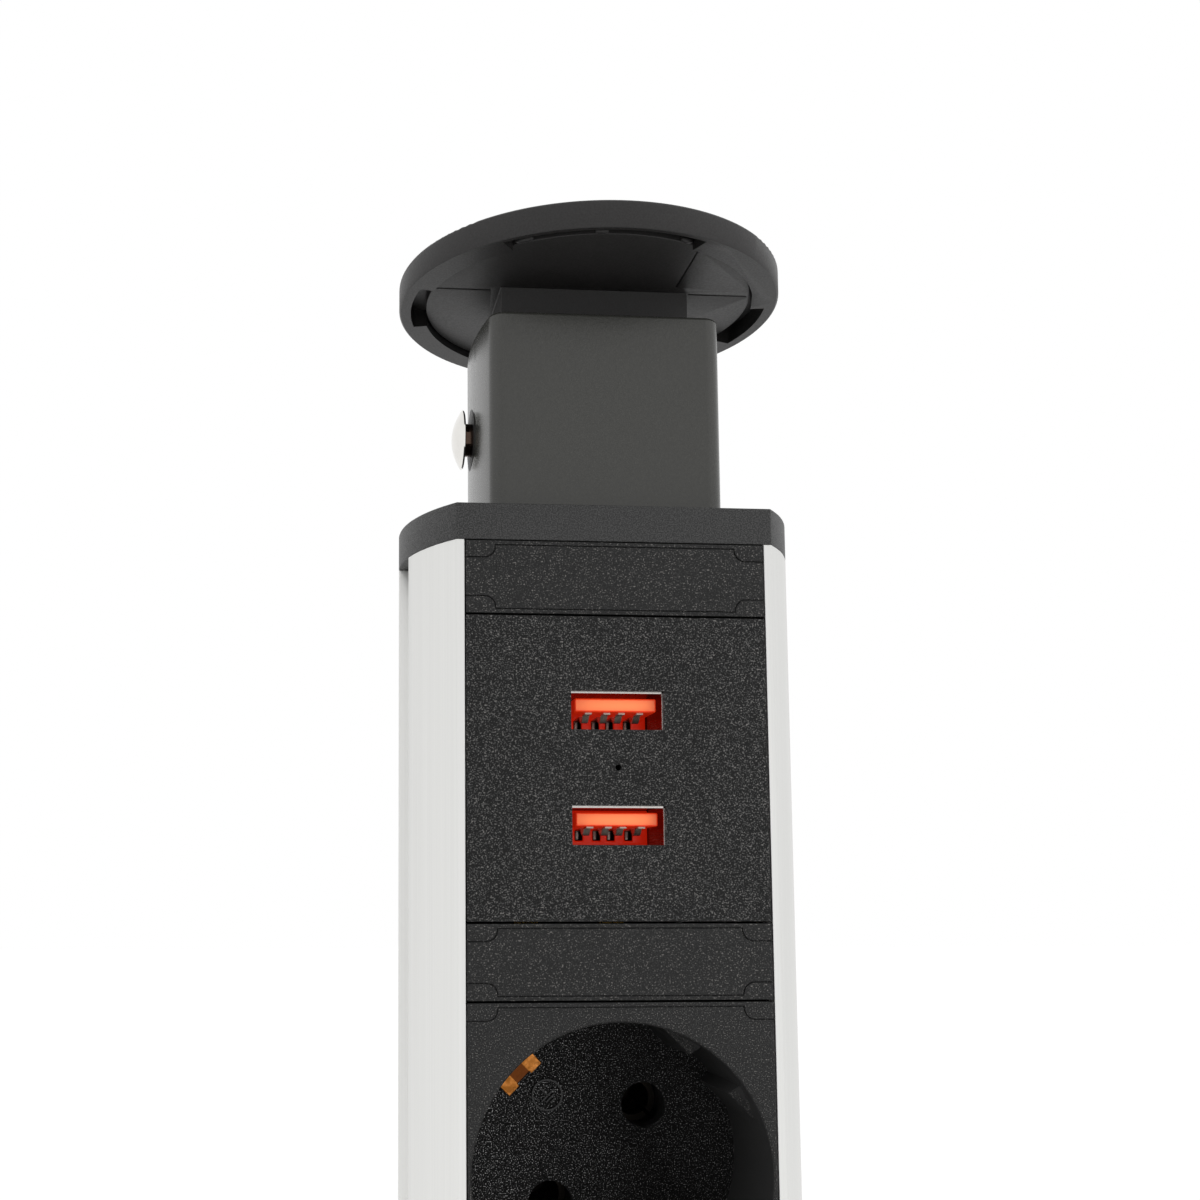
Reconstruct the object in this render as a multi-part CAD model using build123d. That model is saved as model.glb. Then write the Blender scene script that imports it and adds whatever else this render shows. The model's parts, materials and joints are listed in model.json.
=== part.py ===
"""Pull-up desk socket tower, raised in its desk collar. Millimetres, +Z up.

The origin is on the tower's axis, level with the desk top, which is the underside of the collar's flange.
The flat front of the tower faces -Y. Each piece is one function, and every fit comes from the values below.
"""
from build123d import *
import math
import os

os.makedirs("parts", exist_ok=True)

# Column profile
COLUMN_R = 28.0
FRONT_Y = -18.0
PROFILE_WALL = 1.5
CHANNEL_HALF = 20.4
LIP_BACK_Y = -10.9
GUIDE_GROOVE_DEPTH = 2.2
GUIDE_GROOVE_Y0 = -6.8
GUIDE_GROOVE_Y1 = 1.0
GUIDE_GROOVE_WALL = 1.3
FRONT_PORT_X = 22.3
FRONT_PORT_Y = -12.7
REAR_PORT_X = 17.6
REAR_PORT_Y = 17.6
REAR_PORT_BOSS_R = 2.8

# Heights of the modules in the column, from the top down
SPACER_UPPER_HEIGHT = 10.1
USB_HEIGHT = 40.8
SPACER_LOWER_HEIGHT = 10.2
SOCKET_HEIGHT = 45.0
SOCKET_COUNT = 3
BLANK_HEIGHT = 60.3
JOINT_GAP = 0.3

# Desk collar
DESK_HOLE_R = 30.0
DESK_THICKNESS = 20.0
BARREL_R = 29.6
THREAD_R = 29.3
BARREL_LENGTH = 50.0
BORE_GAP = 0.3
FLANGE_R = 40.0
FLANGE_HEIGHT = 5.6
LID_SEAT_DEPTH = 3.8
LID_SEAT_GAP = 0.5
FLANGE_EDGE = 2.0
COLLAR_WALL = 2.2
KEY_GAP = 0.3
KEY_CLEARANCE = 1.0
WIPER_Z = 0.3
WIPER_HEIGHT = 1.2
WIPER_WIDTH = 1.8
WIPER_GAP = 0.2
NUT_HEIGHT = 10.0
NUT_R = 35.0
NUT_GAP = 0.15
NUT_GRIPS = 12
NUT_GRIP_R = 2.6
NUT_SHOULDER = 2.0
WASHER_HEIGHT = 2.0

# Foot
STOP_R = 29.2
STOP_GAP = 0.3
FOOT_HEIGHT = 5.0
FOOT_CHAMBER_R = 17.0
FOOT_CHAMBER_DEPTH = 12.0
FOOT_WALL = 2.0
CORD_R = 4.25
GLAND_R = 8.0
GLAND_HEX = 20.0
GLAND_HEX_HEIGHT = 6.0
GLAND_TAIL = 9.0
GLAND_EDGE = 2.0
FOOT_WINDOW_SETBACK = 8.0

# Top trim, neck and lid; each lid slot has its angle, its radius and its width in degrees
TRIM_HEIGHT = 5.0
TRIM_PLATE = 2.5
TRIM_RING = 1.4
NECK_HALF_DEPTH = 14.0
NECK_HALF_WIDTH = 17.5
NECK_CORNER_X = 15.9
NECK_CORNER_R = 2.4
NECK_CORNER_LEAST = 0.4
NECK_WALL = 2.0
NECK_HEIGHT = 28.5
NECK_TOP_EDGE = 0.5
NECK_BOSS_X = 12.4
NECK_BOSS_Y = 10.4
NECK_BOSS_R = 2.6
NECK_BOSS_HEIGHT = 9.0
SPIGOT_HALF_WIDTH = 13.7
SPIGOT_HALF_DEPTH = 6.5
SPIGOT_HEIGHT = 6.75
LID_R = 28.0
LID_RIM_HEIGHT = 3.8
LID_TOP = 1.2
LID_RING_R = 24.3
LID_EDGE = 0.25
LID_TOP_EDGE = 0.5
LID_PLATE_R = 24.0
LID_PLATE_RECESS = 0.9
LID_SLOTS = ((180.0, 26.3, 30.0), (6.0, 26.3, 30.0), (-95.0, 27.1, 60.0))
LID_SCREW_X = 8.0

# Push button on the neck's left side
BUTTON_HEIGHT = 14.4
BUTTON_TRAVEL = 1.0
BUTTON_STANDOFF = 1.1
BUTTON_HEAD_R = 4.3
BUTTON_RIM = 0.4
BUTTON_DOME = 1.3
STEM_R = 2.4
STEM_GAP = 0.05
STEM_TIP_R = 1.6
BUSH_R = 4.4
BUSH_GUIDE = 5.0
BUSH_LENGTH = 13.0
BUSH_FLANGE_R = 5.6
BUSH_FLANGE = 1.2
BUSH_BORE_R = 3.6
CLIP_R = 3.3
CLIP_THICKNESS = 0.8
CLIP_GAP = 0.1
CAP_THICKNESS = 2.0
SPRING_WIRE_R = 0.22
SPRING_R = 2.5
SPRING_TURNS = 5

# Front modules
FACE_GAP = 0.15
FACE_PLATE = 2.4
LEG_THICKNESS = 2.0
FOOT_HOOK_X = 22.0
FOOT_HOOK_DEPTH = 1.4
GROOVE_WIDTH = 0.15
GROOVE_DEPTH = 0.3
EDGE_LINE = 0.5
TAB_WIDTH = 3.9
TAB_HEIGHT = 2.2
TAB_R = 1.5

# Charging ports
PORT_OFFSET = 7.65
PORT_MOUTH_W = 12.5
PORT_MOUTH_H = 5.2
PORT_LIP = 0.6
PORT_GAP = 0.1
SHELL_WALL = 0.3
SHELL_LENGTH = 13.4
TONGUE_WIDTH = 11.1
TONGUE_THICKNESS = 1.84
TONGUE_DROP = 0.85
TONGUE_RECESS = 0.8
PORT_BACK_WALL = 3.9
PORT_FIT = 0.05
CONTACT_PITCHES = (-3.5, -1.0, 1.0, 3.5)
CONTACT_WIDTH = 1.0
CONTACT_THICKNESS = 0.25
CONTACT_DROP = 1.3
CONTACT_SLOT_DEPTH = 1.5
CONTACT_BEND = 5.0
BOARD_THICKNESS = 1.6
BOARD_HALF_W = 17.0
BOARD_MARGIN = 2.0
USB_COVER_BACK_Y = 14.2
USB_COVER_WALL = 1.2
TRANSFORMER_W = 15.0
TRANSFORMER_H = 13.0
TRANSFORMER_D = 11.0
TRANSFORMER_EDGE = 1.0
CAPACITOR_R = 4.0
CAPACITOR_LENGTH = 12.0
CAPACITOR_GAP = 1.0
CAPACITOR_EDGE = 0.5
LED_HOLE_R = 0.4
LED_R = 1.5
LED_LENGTH = 5.0

# Earthed sockets
RECESS_R = 19.75
RECESS_DEPTH = 17.5
RECESS_FLOOR = 3.0
RECESS_EDGE = 0.25
CUP_WALL = 1.5
PIN_OFFSET = 9.5
PIN_HOLE_R = 3.1
PIN_TILT = 45.0
GUIDE_FLAT_R = 17.8
GUIDE_SLOT_W = 7.2
GUIDE_START = 1.2
GUIDE_SLOPE = 2.2
GUIDE_ROOT = 0.2
CLIP_HALF_W = 3.05
CLIP_STRIP = 0.8
CLIP_REACH = 17.2
CLIP_LEG_V = 20.2
CLIP_TIP = 1.0
CLIP_NOSE = 2.6
CLIP_NOSE_END = 6.0
CLIP_BACK = 9.3
CLIP_SLOT_GAP = 0.15
CLIP_RIB_W = 2.2
CLIP_RIB_DEPTH = 0.45
SLEEVE_SETBACK = 4.0
SLEEVE_R = 3.4
SLEEVE_BORE_R = 2.5
SLEEVE_SLIT = 0.6
SLEEVE_BASE = 0.6
CARRIER_FLANGE = 3.0
CARRIER_HALF = 13.5
CARRIER_DEPTH = 16.5
CARRIER_FLANGE_X = 20.0
CARRIER_FLANGE_Z = 21.0
CARRIER_GAP = 0.05
CARRIER_SCREW_X = 17.2
CARRIER_SCREW_Z = 18.6
EARTH_TAIL_W = 3.0

# Bus bars and terminals
BUS_THICKNESS = 1.0
BUS_WIDTH = 4.0
BUS_TOP_MARGIN = 14.0
LINER_HALF_W = 12.0
LINER_THICK = 1.2
TERMINAL_HALF_W = 11.0
TERMINAL_DEPTH = 10.0
TERMINAL_HEIGHT = 20.0
TERMINAL_SCREW_R = 1.6
TERMINAL_SCREW_DROP = 9.0
WIRE_HOLE_TOP = 5.0

# How far a cutting shape runs past the face that it opens
CUT = 1.0

# Screws
SCREW_R = 1.0
SCREW_GAP = 0.05
SCREW_HEAD_R = 1.9
SCREW_HEAD_H = 1.2
SCREW_SLOT = 0.5
SCREW_BOSS = 3.5
SCREW_SPARE = 1.0
COUNTERBORE_GAP = 0.15
TRIM_SCREW_LENGTH = 9.0
NECK_SCREW_LENGTH = 8.0
LID_SCREW_LENGTH = 7.0
CARRIER_SCREW_LENGTH = 8.0

# Worked out from the sizes above
MODULE_STACK = (SPACER_UPPER_HEIGHT + USB_HEIGHT + SPACER_LOWER_HEIGHT
                + SOCKET_COUNT * SOCKET_HEIGHT + BLANK_HEIGHT)
PROFILE_BOTTOM = -BARREL_LENGTH - STOP_GAP
PROFILE_TOP = PROFILE_BOTTOM + MODULE_STACK
PROFILE_INNER_R = COLUMN_R - PROFILE_WALL
USB_TOP = PROFILE_TOP - SPACER_UPPER_HEIGHT
USB_BOTTOM = USB_TOP - USB_HEIGHT
USB_CENTRE = (USB_TOP + USB_BOTTOM) / 2
SOCKETS_TOP = USB_BOTTOM - SPACER_LOWER_HEIGHT
SOCKETS_BOTTOM = SOCKETS_TOP - SOCKET_COUNT * SOCKET_HEIGHT
TRIM_TOP = PROFILE_TOP + TRIM_HEIGHT
NECK_TOP = TRIM_TOP + NECK_HEIGHT
LID_PLATE_BOTTOM = NECK_TOP + SPIGOT_HEIGHT
LID_BOTTOM = LID_PLATE_BOTTOM - LID_PLATE_RECESS
LID_TOP_Z = LID_BOTTOM + LID_RIM_HEIGHT
RECESS_FLOOR_Y = FRONT_Y + RECESS_DEPTH
CARRIER_FRONT_Y = RECESS_FLOOR_Y + RECESS_FLOOR
CARRIER_BACK_Y = CARRIER_FRONT_Y + CARRIER_DEPTH
SLEEVE_FRONT_Y = CARRIER_FRONT_Y + SLEEVE_SETBACK
BUS_Y = CARRIER_BACK_Y + JOINT_GAP
PIN_SHIFT = PIN_OFFSET * math.cos(math.radians(PIN_TILT))
LID_SEAT_Z = FLANGE_HEIGHT - LID_SEAT_DEPTH
TOWER_TRAVEL = LID_BOTTOM - LID_SEAT_Z
KEY_TOP = PROFILE_TOP - TOWER_TRAVEL - KEY_CLEARANCE


def block(x0, x1, y0, y1, z0, z1):
    """A plain box between two corners."""
    return Pos((x0 + x1) / 2, (y0 + y1) / 2, (z0 + z1) / 2) * Box(x1 - x0, y1 - y0, z1 - z0)


def rod(radius, x, y, z0, z1):
    """An upright round bar."""
    return Pos(x, y, (z0 + z1) / 2) * Cylinder(radius, z1 - z0)


def rod_y(radius, x, z, y0, y1):
    """A round bar that runs front to back."""
    return Pos(x, (y0 + y1) / 2, z) * Rot(90, 0, 0) * Cylinder(radius, y1 - y0)


def rod_x(radius, y, z, x0, x1):
    """A round bar that runs side to side."""
    return Pos((x0 + x1) / 2, y, z) * Rot(0, 90, 0) * Cylinder(radius, x1 - x0)


def column_face(radius, front_y):
    """The column's outline: a circle cut flat at the front."""
    cut = Pos(0, (front_y + radius) / 2) * Rectangle(4 * radius, radius - front_y)
    return Circle(radius) & cut


def prism(face, z0, z1):
    """A flat outline pulled up from one height to another."""
    return Pos(0, 0, z0) * extrude(face, z1 - z0)


def both_sides(shape):
    """A shape and its mirror image across the middle plane."""
    return shape + mirror(shape, about=Plane.YZ)


def pan_screw(length):
    """A pan head screw along +Z: its head under Z=0 and its shank above."""
    head = Pos(0, 0, -SCREW_HEAD_H / 2) * Cylinder(SCREW_HEAD_R, SCREW_HEAD_H)
    head -= Pos(0, 0, -SCREW_HEAD_H) * Box(2 * SCREW_HEAD_R, SCREW_SLOT, SCREW_HEAD_H)
    return head + Pos(0, 0, length / 2) * Cylinder(SCREW_R, length)


def port_places():
    """The four screw ports of the profile, in plan."""
    return [(side * x, y) for side in (-1, 1)
            for x, y in ((FRONT_PORT_X, FRONT_PORT_Y), (REAR_PORT_X, REAR_PORT_Y))]


def column_profile():
    """Aluminium extrusion: round back, lips at the front, a guide groove on each side and four screw ports."""
    groove_x = COLUMN_R - GUIDE_GROOVE_DEPTH
    groove_mid = (GUIDE_GROOVE_Y0 + GUIDE_GROOVE_Y1) / 2
    groove_width = GUIDE_GROOVE_Y1 - GUIDE_GROOVE_Y0
    groove = Pos(groove_x + GUIDE_GROOVE_DEPTH, groove_mid) * Rectangle(2 * GUIDE_GROOVE_DEPTH, groove_width)
    backing = Pos(groove_x + GUIDE_GROOVE_DEPTH - GUIDE_GROOVE_WALL, groove_mid) * Rectangle(
        2 * GUIDE_GROOVE_DEPTH, groove_width + 2 * GUIDE_GROOVE_WALL)
    cavity = column_face(PROFILE_INNER_R, LIP_BACK_Y) - both_sides(backing)
    for side in (-1, 1):
        cavity -= Pos(side * REAR_PORT_X, REAR_PORT_Y) * Circle(REAR_PORT_BOSS_R)
    channel_back = LIP_BACK_Y + CUT
    channel = Pos(0, (channel_back + 2 * FRONT_Y) / 2) * Rectangle(2 * CHANNEL_HALF, channel_back - 2 * FRONT_Y)
    face = column_face(COLUMN_R, FRONT_Y) - both_sides(groove) - cavity - channel
    for x, y in port_places():
        face -= Pos(x, y) * Circle(SCREW_R + SCREW_GAP)
    return prism(face, PROFILE_BOTTOM, PROFILE_TOP)


def module_body(z0, z1):
    """The shape shared by all front pieces: a face plate with two legs that hook behind the profile's lips."""
    half = CHANNEL_HALF - FACE_GAP
    bottom, top = z0 + JOINT_GAP / 2, z1 - JOINT_GAP / 2
    hook_front = LIP_BACK_Y + FACE_GAP
    body = block(-half, half, FRONT_Y, FRONT_Y + FACE_PLATE, bottom, top)
    leg = block(half - LEG_THICKNESS, half, FRONT_Y + FACE_PLATE / 2, hook_front + FOOT_HOOK_DEPTH, bottom, top)
    hook = block(half - LEG_THICKNESS, FOOT_HOOK_X, hook_front, hook_front + FOOT_HOOK_DEPTH, bottom, top)
    return body + both_sides(leg + hook)


def panel_outline(height, shrink):
    """Outline of the raised middle panel of a blank piece, less a margin: its corners leave room for tabs."""
    half_h = height / 2 - EDGE_LINE - shrink
    panel = Rectangle(4 * CHANNEL_HALF, 2 * half_h)
    half = CHANNEL_HALF - FACE_GAP
    tab = RectangleRounded(2 * (TAB_WIDTH + shrink), 2 * (TAB_HEIGHT - EDGE_LINE), TAB_R)
    for sx in (-1, 1):
        for sz in (-1, 1):
            panel -= Pos(sx * half, sz * half_h) * tab
    return panel


def face_lines(z0, z1):
    """The thin lines cut in a blank face round its middle panel."""
    height = z1 - z0 - JOINT_GAP
    ring = panel_outline(height, 0) - panel_outline(height, GROOVE_WIDTH)
    window = Rectangle(2 * CHANNEL_HALF - 2 * FACE_GAP, height)
    lines = extrude(ring & window, GROOVE_DEPTH)
    return Pos(0, FRONT_Y + GROOVE_DEPTH, (z0 + z1) / 2) * Rot(90, 0, 0) * lines


def spacer(z0, z1):
    """A blank filler piece."""
    return module_body(z0, z1) - face_lines(z0, z1)


def port_places_z():
    """Heights of the two charging ports."""
    return {"upper": USB_CENTRE + PORT_OFFSET, "lower": USB_CENTRE - PORT_OFFSET}


def usb_plate():
    """Face of the charging module, with a window for each port and a pinhole for the light."""
    body = module_body(USB_BOTTOM, USB_TOP)
    seat_w, seat_h = SHELL_W / 2 + PORT_GAP, SHELL_H / 2 + PORT_GAP
    for z in port_places_z().values():
        body -= block(-PORT_MOUTH_W / 2, PORT_MOUTH_W / 2, FRONT_Y - CUT, FRONT_Y + FACE_PLATE,
                      z - PORT_MOUTH_H / 2, z + PORT_MOUTH_H / 2)
        body -= block(-seat_w, seat_w, FRONT_Y + PORT_LIP, FRONT_Y + FACE_PLATE + CUT, z - seat_h, z + seat_h)
    return body - rod_y(LED_HOLE_R, 0, USB_CENTRE, FRONT_Y - CUT, FRONT_Y + FACE_PLATE + CUT)


SHELL_W = PORT_MOUTH_W + 2 * SHELL_WALL
SHELL_H = PORT_MOUTH_H + 2 * SHELL_WALL
SHELL_FRONT_Y = FRONT_Y + PORT_LIP
BOARD_FRONT_Y = SHELL_FRONT_Y + SHELL_LENGTH


def usb_shell(z):
    """The folded steel shell of one port."""
    outer = block(-SHELL_W / 2, SHELL_W / 2, SHELL_FRONT_Y, BOARD_FRONT_Y, z - SHELL_H / 2, z + SHELL_H / 2)
    inner_w, inner_h = SHELL_W / 2 - SHELL_WALL, SHELL_H / 2 - SHELL_WALL
    return outer - block(-inner_w, inner_w, SHELL_FRONT_Y - CUT, BOARD_FRONT_Y + CUT, z - inner_h, z + inner_h)


def tongue_span(z):
    """Lowest and highest point of a port's tongue."""
    top = z + SHELL_H / 2 - SHELL_WALL - TONGUE_DROP
    return top - TONGUE_THICKNESS, top


def usb_tongue(z):
    """The coloured insulator in a port: its tongue and the back wall that carries it."""
    half_w = SHELL_W / 2 - SHELL_WALL - PORT_FIT
    low, high = z - SHELL_H / 2 + SHELL_WALL + PORT_FIT, z + SHELL_H / 2 - SHELL_WALL - PORT_FIT
    tongue_low, tongue_high = tongue_span(z)
    back = BOARD_FRONT_Y - PORT_BACK_WALL
    body = block(-half_w, half_w, back, BOARD_FRONT_Y, low, high)
    for x in CONTACT_PITCHES:
        body -= block(x - CONTACT_WIDTH / 2, x + CONTACT_WIDTH / 2, back - CUT, back + CONTACT_SLOT_DEPTH,
                      tongue_low - CONTACT_DROP - CONTACT_THICKNESS, tongue_low)
    tongue = block(-TONGUE_WIDTH / 2, TONGUE_WIDTH / 2, SHELL_FRONT_Y + TONGUE_RECESS, back, tongue_low, tongue_high)
    return body + tongue


def usb_contacts(z):
    """The four sprung contacts under a port's tongue."""
    tongue_low, _ = tongue_span(z)
    front = SHELL_FRONT_Y + 2 * TONGUE_RECESS
    back = BOARD_FRONT_Y - PORT_BACK_WALL + CONTACT_SLOT_DEPTH
    half = CONTACT_WIDTH / 2 - PORT_FIT
    strips = []
    for x in CONTACT_PITCHES:
        strip = block(x - half, x + half, front, back, tongue_low - CONTACT_THICKNESS, tongue_low)
        bend = block(x - half, x + half, front + CONTACT_BEND, front + CONTACT_BEND + 4 * CONTACT_THICKNESS,
                     tongue_low - CONTACT_DROP, tongue_low - CONTACT_THICKNESS)
        strips.append(strip + bend)
    return Compound(children=strips)


def usb_board():
    """Circuit board behind both ports, upright."""
    return block(-BOARD_HALF_W, BOARD_HALF_W, BOARD_FRONT_Y, BOARD_FRONT_Y + BOARD_THICKNESS,
                 USB_BOTTOM + BOARD_MARGIN, USB_TOP - BOARD_MARGIN)


BOARD_BACK_Y = BOARD_FRONT_Y + BOARD_THICKNESS


def usb_transformer():
    """Transformer block on the back of the board."""
    z0 = USB_CENTRE + PORT_OFFSET - TRANSFORMER_H / 2
    core = block(-TRANSFORMER_W / 2, TRANSFORMER_W / 2, BOARD_BACK_Y, BOARD_BACK_Y + TRANSFORMER_D,
                 z0, z0 + TRANSFORMER_H)
    return core.fillet(TRANSFORMER_EDGE, core.edges().filter_by(Axis.Y))


def usb_capacitors():
    """Two electrolytic capacitors on the back of the board."""
    cans = []
    for side in (-1, 1):
        can = rod_y(CAPACITOR_R, side * (CAPACITOR_R + CAPACITOR_GAP), USB_CENTRE - PORT_OFFSET, BOARD_BACK_Y,
                    BOARD_BACK_Y + CAPACITOR_LENGTH)
        cans.append(can.fillet(CAPACITOR_EDGE, can.edges().filter_by(GeomType.CIRCLE)))
    return Compound(children=cans)


def usb_led():
    """Light behind the pinhole, standing on the board."""
    return rod_y(LED_R, 0, USB_CENTRE, BOARD_FRONT_Y - LED_LENGTH, BOARD_FRONT_Y)


def usb_rear_cover():
    """Insulating box over the back of the board."""
    z0, z1 = USB_BOTTOM + BOARD_MARGIN, USB_TOP - BOARD_MARGIN
    outer = block(-BOARD_HALF_W, BOARD_HALF_W, BOARD_BACK_Y, USB_COVER_BACK_Y, z0, z1)
    inner = block(-BOARD_HALF_W + USB_COVER_WALL, BOARD_HALF_W - USB_COVER_WALL, BOARD_BACK_Y - CUT,
                  USB_COVER_BACK_Y - USB_COVER_WALL, z0 + USB_COVER_WALL, z1 - USB_COVER_WALL)
    cover = outer - inner
    for side in (-1, 1):
        cover -= rod_y(SCREW_R + SCREW_GAP, side * PIN_SHIFT, supply_z(), BOARD_BACK_Y, USB_COVER_BACK_Y + CUT)
    return cover


def supply_z():
    """Height of the two supply pins between the bus bars and the board."""
    return USB_BOTTOM + BOARD_MARGIN + 2 * USB_COVER_WALL


def usb_supply_pins():
    """Brass pins that carry live and neutral from the bus bars to the board."""
    pins = [rod_y(SCREW_R, side * PIN_SHIFT, supply_z(), BOARD_BACK_Y, BUS_Y) for side in (-1, 1)]
    return Compound(children=pins)


def turned(shape, centre_z):
    """A socket's inner shape, drawn upright with its pins level, turned to the pins' tilt at its height."""
    return Pos(0, 0, centre_z) * Rot(0, -PIN_TILT, 0) * shape


def guide_flats():
    """The two flats in the recess wall beside the pins, each with a slot for the plug's rib."""
    start, slope = FRONT_Y + GUIDE_START, GUIDE_SLOPE
    flat = block(GUIDE_FLAT_R, RECESS_R + CUT, start, RECESS_FLOOR_Y, -RECESS_R, RECESS_R)
    bevel = Pos(GUIDE_FLAT_R, start, 0) * Rot(0, 0, 45) * Box(2 * slope, 2 * slope, 4 * RECESS_R)
    flat -= bevel
    flat -= block(GUIDE_FLAT_R - CUT, RECESS_R + 2 * CUT, start - CUT, RECESS_FLOOR_Y + CUT,
                  -GUIDE_SLOT_W / 2, GUIDE_SLOT_W / 2)
    flat &= rod_y(RECESS_R + GUIDE_ROOT, 0, 0, FRONT_Y, RECESS_FLOOR_Y + CUT)
    return both_sides(flat)


def socket_insert(centre_z):
    """Face and cup of one earthed socket."""
    z0, z1 = centre_z - SOCKET_HEIGHT / 2, centre_z + SOCKET_HEIGHT / 2
    half = CHANNEL_HALF - FACE_GAP
    bottom, top = z0 + JOINT_GAP / 2, z1 - JOINT_GAP / 2
    body = module_body(z0, z1) + block(-half, half, FRONT_Y, CARRIER_FRONT_Y, bottom, top)
    pocket = block(-half + CUP_WALL, half - CUP_WALL, FRONT_Y + FACE_PLATE, CARRIER_FRONT_Y + CUT,
                   bottom + CUP_WALL, top - CUP_WALL)
    pocket -= rod_y(RECESS_R + CUP_WALL, 0, centre_z, FRONT_Y, CARRIER_FRONT_Y + 2 * CUT)
    for side in (-1, 1):
        boss_x, boss_z = side * CARRIER_SCREW_X, centre_z + side * CARRIER_SCREW_Z
        pocket -= block(boss_x - SCREW_BOSS, boss_x + SCREW_BOSS, FRONT_Y, CARRIER_FRONT_Y + 2 * CUT,
                        boss_z - SCREW_BOSS, boss_z + SCREW_BOSS)
    body -= pocket
    body -= rod_y(RECESS_R, 0, centre_z, FRONT_Y - CUT, RECESS_FLOOR_Y)
    edge = Cone(RECESS_R, RECESS_R + RECESS_EDGE, RECESS_EDGE)
    body -= Pos(0, FRONT_Y + RECESS_EDGE / 2, centre_z) * Rot(90, 0, 0) * edge
    body += turned(guide_flats(), centre_z)
    for side in (-1, 1):
        body -= turned(rod_y(PIN_HOLE_R, side * PIN_OFFSET, 0, RECESS_FLOOR_Y - CUT, CARRIER_FRONT_Y + CUT), centre_z)
        body -= rod_y(SCREW_R + SCREW_GAP, side * CARRIER_SCREW_X, centre_z + side * CARRIER_SCREW_Z,
                      CARRIER_FRONT_Y - CARRIER_SCREW_LENGTH, CARRIER_FRONT_Y + CUT)
        slot_w = CLIP_HALF_W + CLIP_SLOT_GAP
        slot = block(-slot_w, slot_w, FRONT_Y + FACE_PLATE / 2, CARRIER_FRONT_Y + CUT,
                     CLIP_LEG_V - 2 * CLIP_STRIP, CLIP_LEG_V + CLIP_STRIP + CLIP_SLOT_GAP)
        body -= turned(Rot(0, 90 - 90 * side, 0) * slot, centre_z)
    return body - face_lines(z0, z1)


def earth_clip(centre_z):
    """Bent earth spring of one socket: a hook at each side, joined by a strap behind the cup's floor."""
    y = FRONT_Y + FACE_PLATE / 2
    leg = CLIP_LEG_V + CLIP_STRIP / 2
    nose = CLIP_REACH + CLIP_STRIP / 2
    line = Polyline((y + CLIP_TIP, leg), (y + CLIP_NOSE, nose), (y + CLIP_NOSE_END, nose), (y + CLIP_BACK, leg),
                    (CARRIER_FRONT_Y, leg))
    hook = extrude(Plane.YZ * trace(line, CLIP_STRIP), CLIP_HALF_W, both=True)
    rib = block(-CLIP_RIB_W / 2, CLIP_RIB_W / 2, y, y + CLIP_BACK, CLIP_REACH - CUT, CLIP_REACH + CLIP_RIB_DEPTH)
    hook -= rib
    leg_end = CLIP_LEG_V + CLIP_STRIP
    strap = block(-CLIP_HALF_W, CLIP_HALF_W, CARRIER_FRONT_Y, CARRIER_FRONT_Y + CLIP_STRIP, -leg_end, leg_end)
    tail = block(-EARTH_TAIL_W / 2, EARTH_TAIL_W / 2, CARRIER_FRONT_Y, BUS_Y, -EARTH_TAIL_W / 2, EARTH_TAIL_W / 2)
    return turned(hook + Rot(0, 180, 0) * hook + strap, centre_z) + Pos(0, 0, centre_z) * tail


def contact_carrier(centre_z):
    """Insulating block behind the cup, with a square chamber for each pin sleeve."""
    y0 = CARRIER_FRONT_Y
    chamber = SLEEVE_R + CARRIER_GAP
    body = block(-CARRIER_FLANGE_X, CARRIER_FLANGE_X, y0, y0 + CARRIER_FLANGE,
                 centre_z - CARRIER_FLANGE_Z, centre_z + CARRIER_FLANGE_Z)
    body += block(-CARRIER_HALF, CARRIER_HALF, y0, CARRIER_BACK_Y, centre_z - CARRIER_HALF, centre_z + CARRIER_HALF)
    for side in (-1, 1):
        x, z = side * PIN_SHIFT, centre_z + side * PIN_SHIFT
        body -= block(x - chamber, x + chamber, y0 - CUT, CARRIER_BACK_Y + CUT, z - chamber, z + chamber)
        body -= rod_y(SCREW_R + SCREW_GAP, side * CARRIER_SCREW_X, centre_z + side * CARRIER_SCREW_Z,
                      y0 - CUT, y0 + CARRIER_FLANGE + CUT)
    strap_w = CLIP_HALF_W + CLIP_SLOT_GAP
    strap_v = CLIP_LEG_V + CLIP_STRIP + CLIP_SLOT_GAP
    body -= turned(block(-strap_w, strap_w, y0 - CUT, y0 + CLIP_STRIP + CARRIER_GAP, -strap_v, strap_v), centre_z)
    tail_half = EARTH_TAIL_W / 2 + CARRIER_GAP
    return body - block(-tail_half, tail_half, y0 - CUT, CARRIER_BACK_Y + CUT,
                        centre_z - tail_half, centre_z + tail_half)


def pin_contacts(centre_z):
    """Two slit sleeves that grip the plug's pins."""
    sleeves = []
    for side in (-1, 1):
        sleeve = rod_y(SLEEVE_R, side * PIN_OFFSET, 0, SLEEVE_FRONT_Y, BUS_Y)
        sleeve -= rod_y(SLEEVE_BORE_R, side * PIN_OFFSET, 0, SLEEVE_FRONT_Y - CUT, BUS_Y - SLEEVE_BASE)
        cut = block(side * PIN_OFFSET - SLEEVE_SLIT / 2, side * PIN_OFFSET + SLEEVE_SLIT / 2,
                    SLEEVE_FRONT_Y - CUT, SLEEVE_FRONT_Y + CARRIER_DEPTH / 2, -SLEEVE_R - CUT, SLEEVE_R + CUT)
        sleeves.append(turned(sleeve - cut, centre_z))
    return Compound(children=sleeves)


def carrier_screws():
    """The two screws of each contact carrier."""
    screws = []
    for z in socket_centres():
        for side in (-1, 1):
            place = Pos(side * CARRIER_SCREW_X, CARRIER_FRONT_Y + CARRIER_FLANGE, z + side * CARRIER_SCREW_Z)
            screws.append(place * Rot(90, 0, 0) * pan_screw(CARRIER_SCREW_LENGTH))
    return Compound(children=screws)


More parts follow.
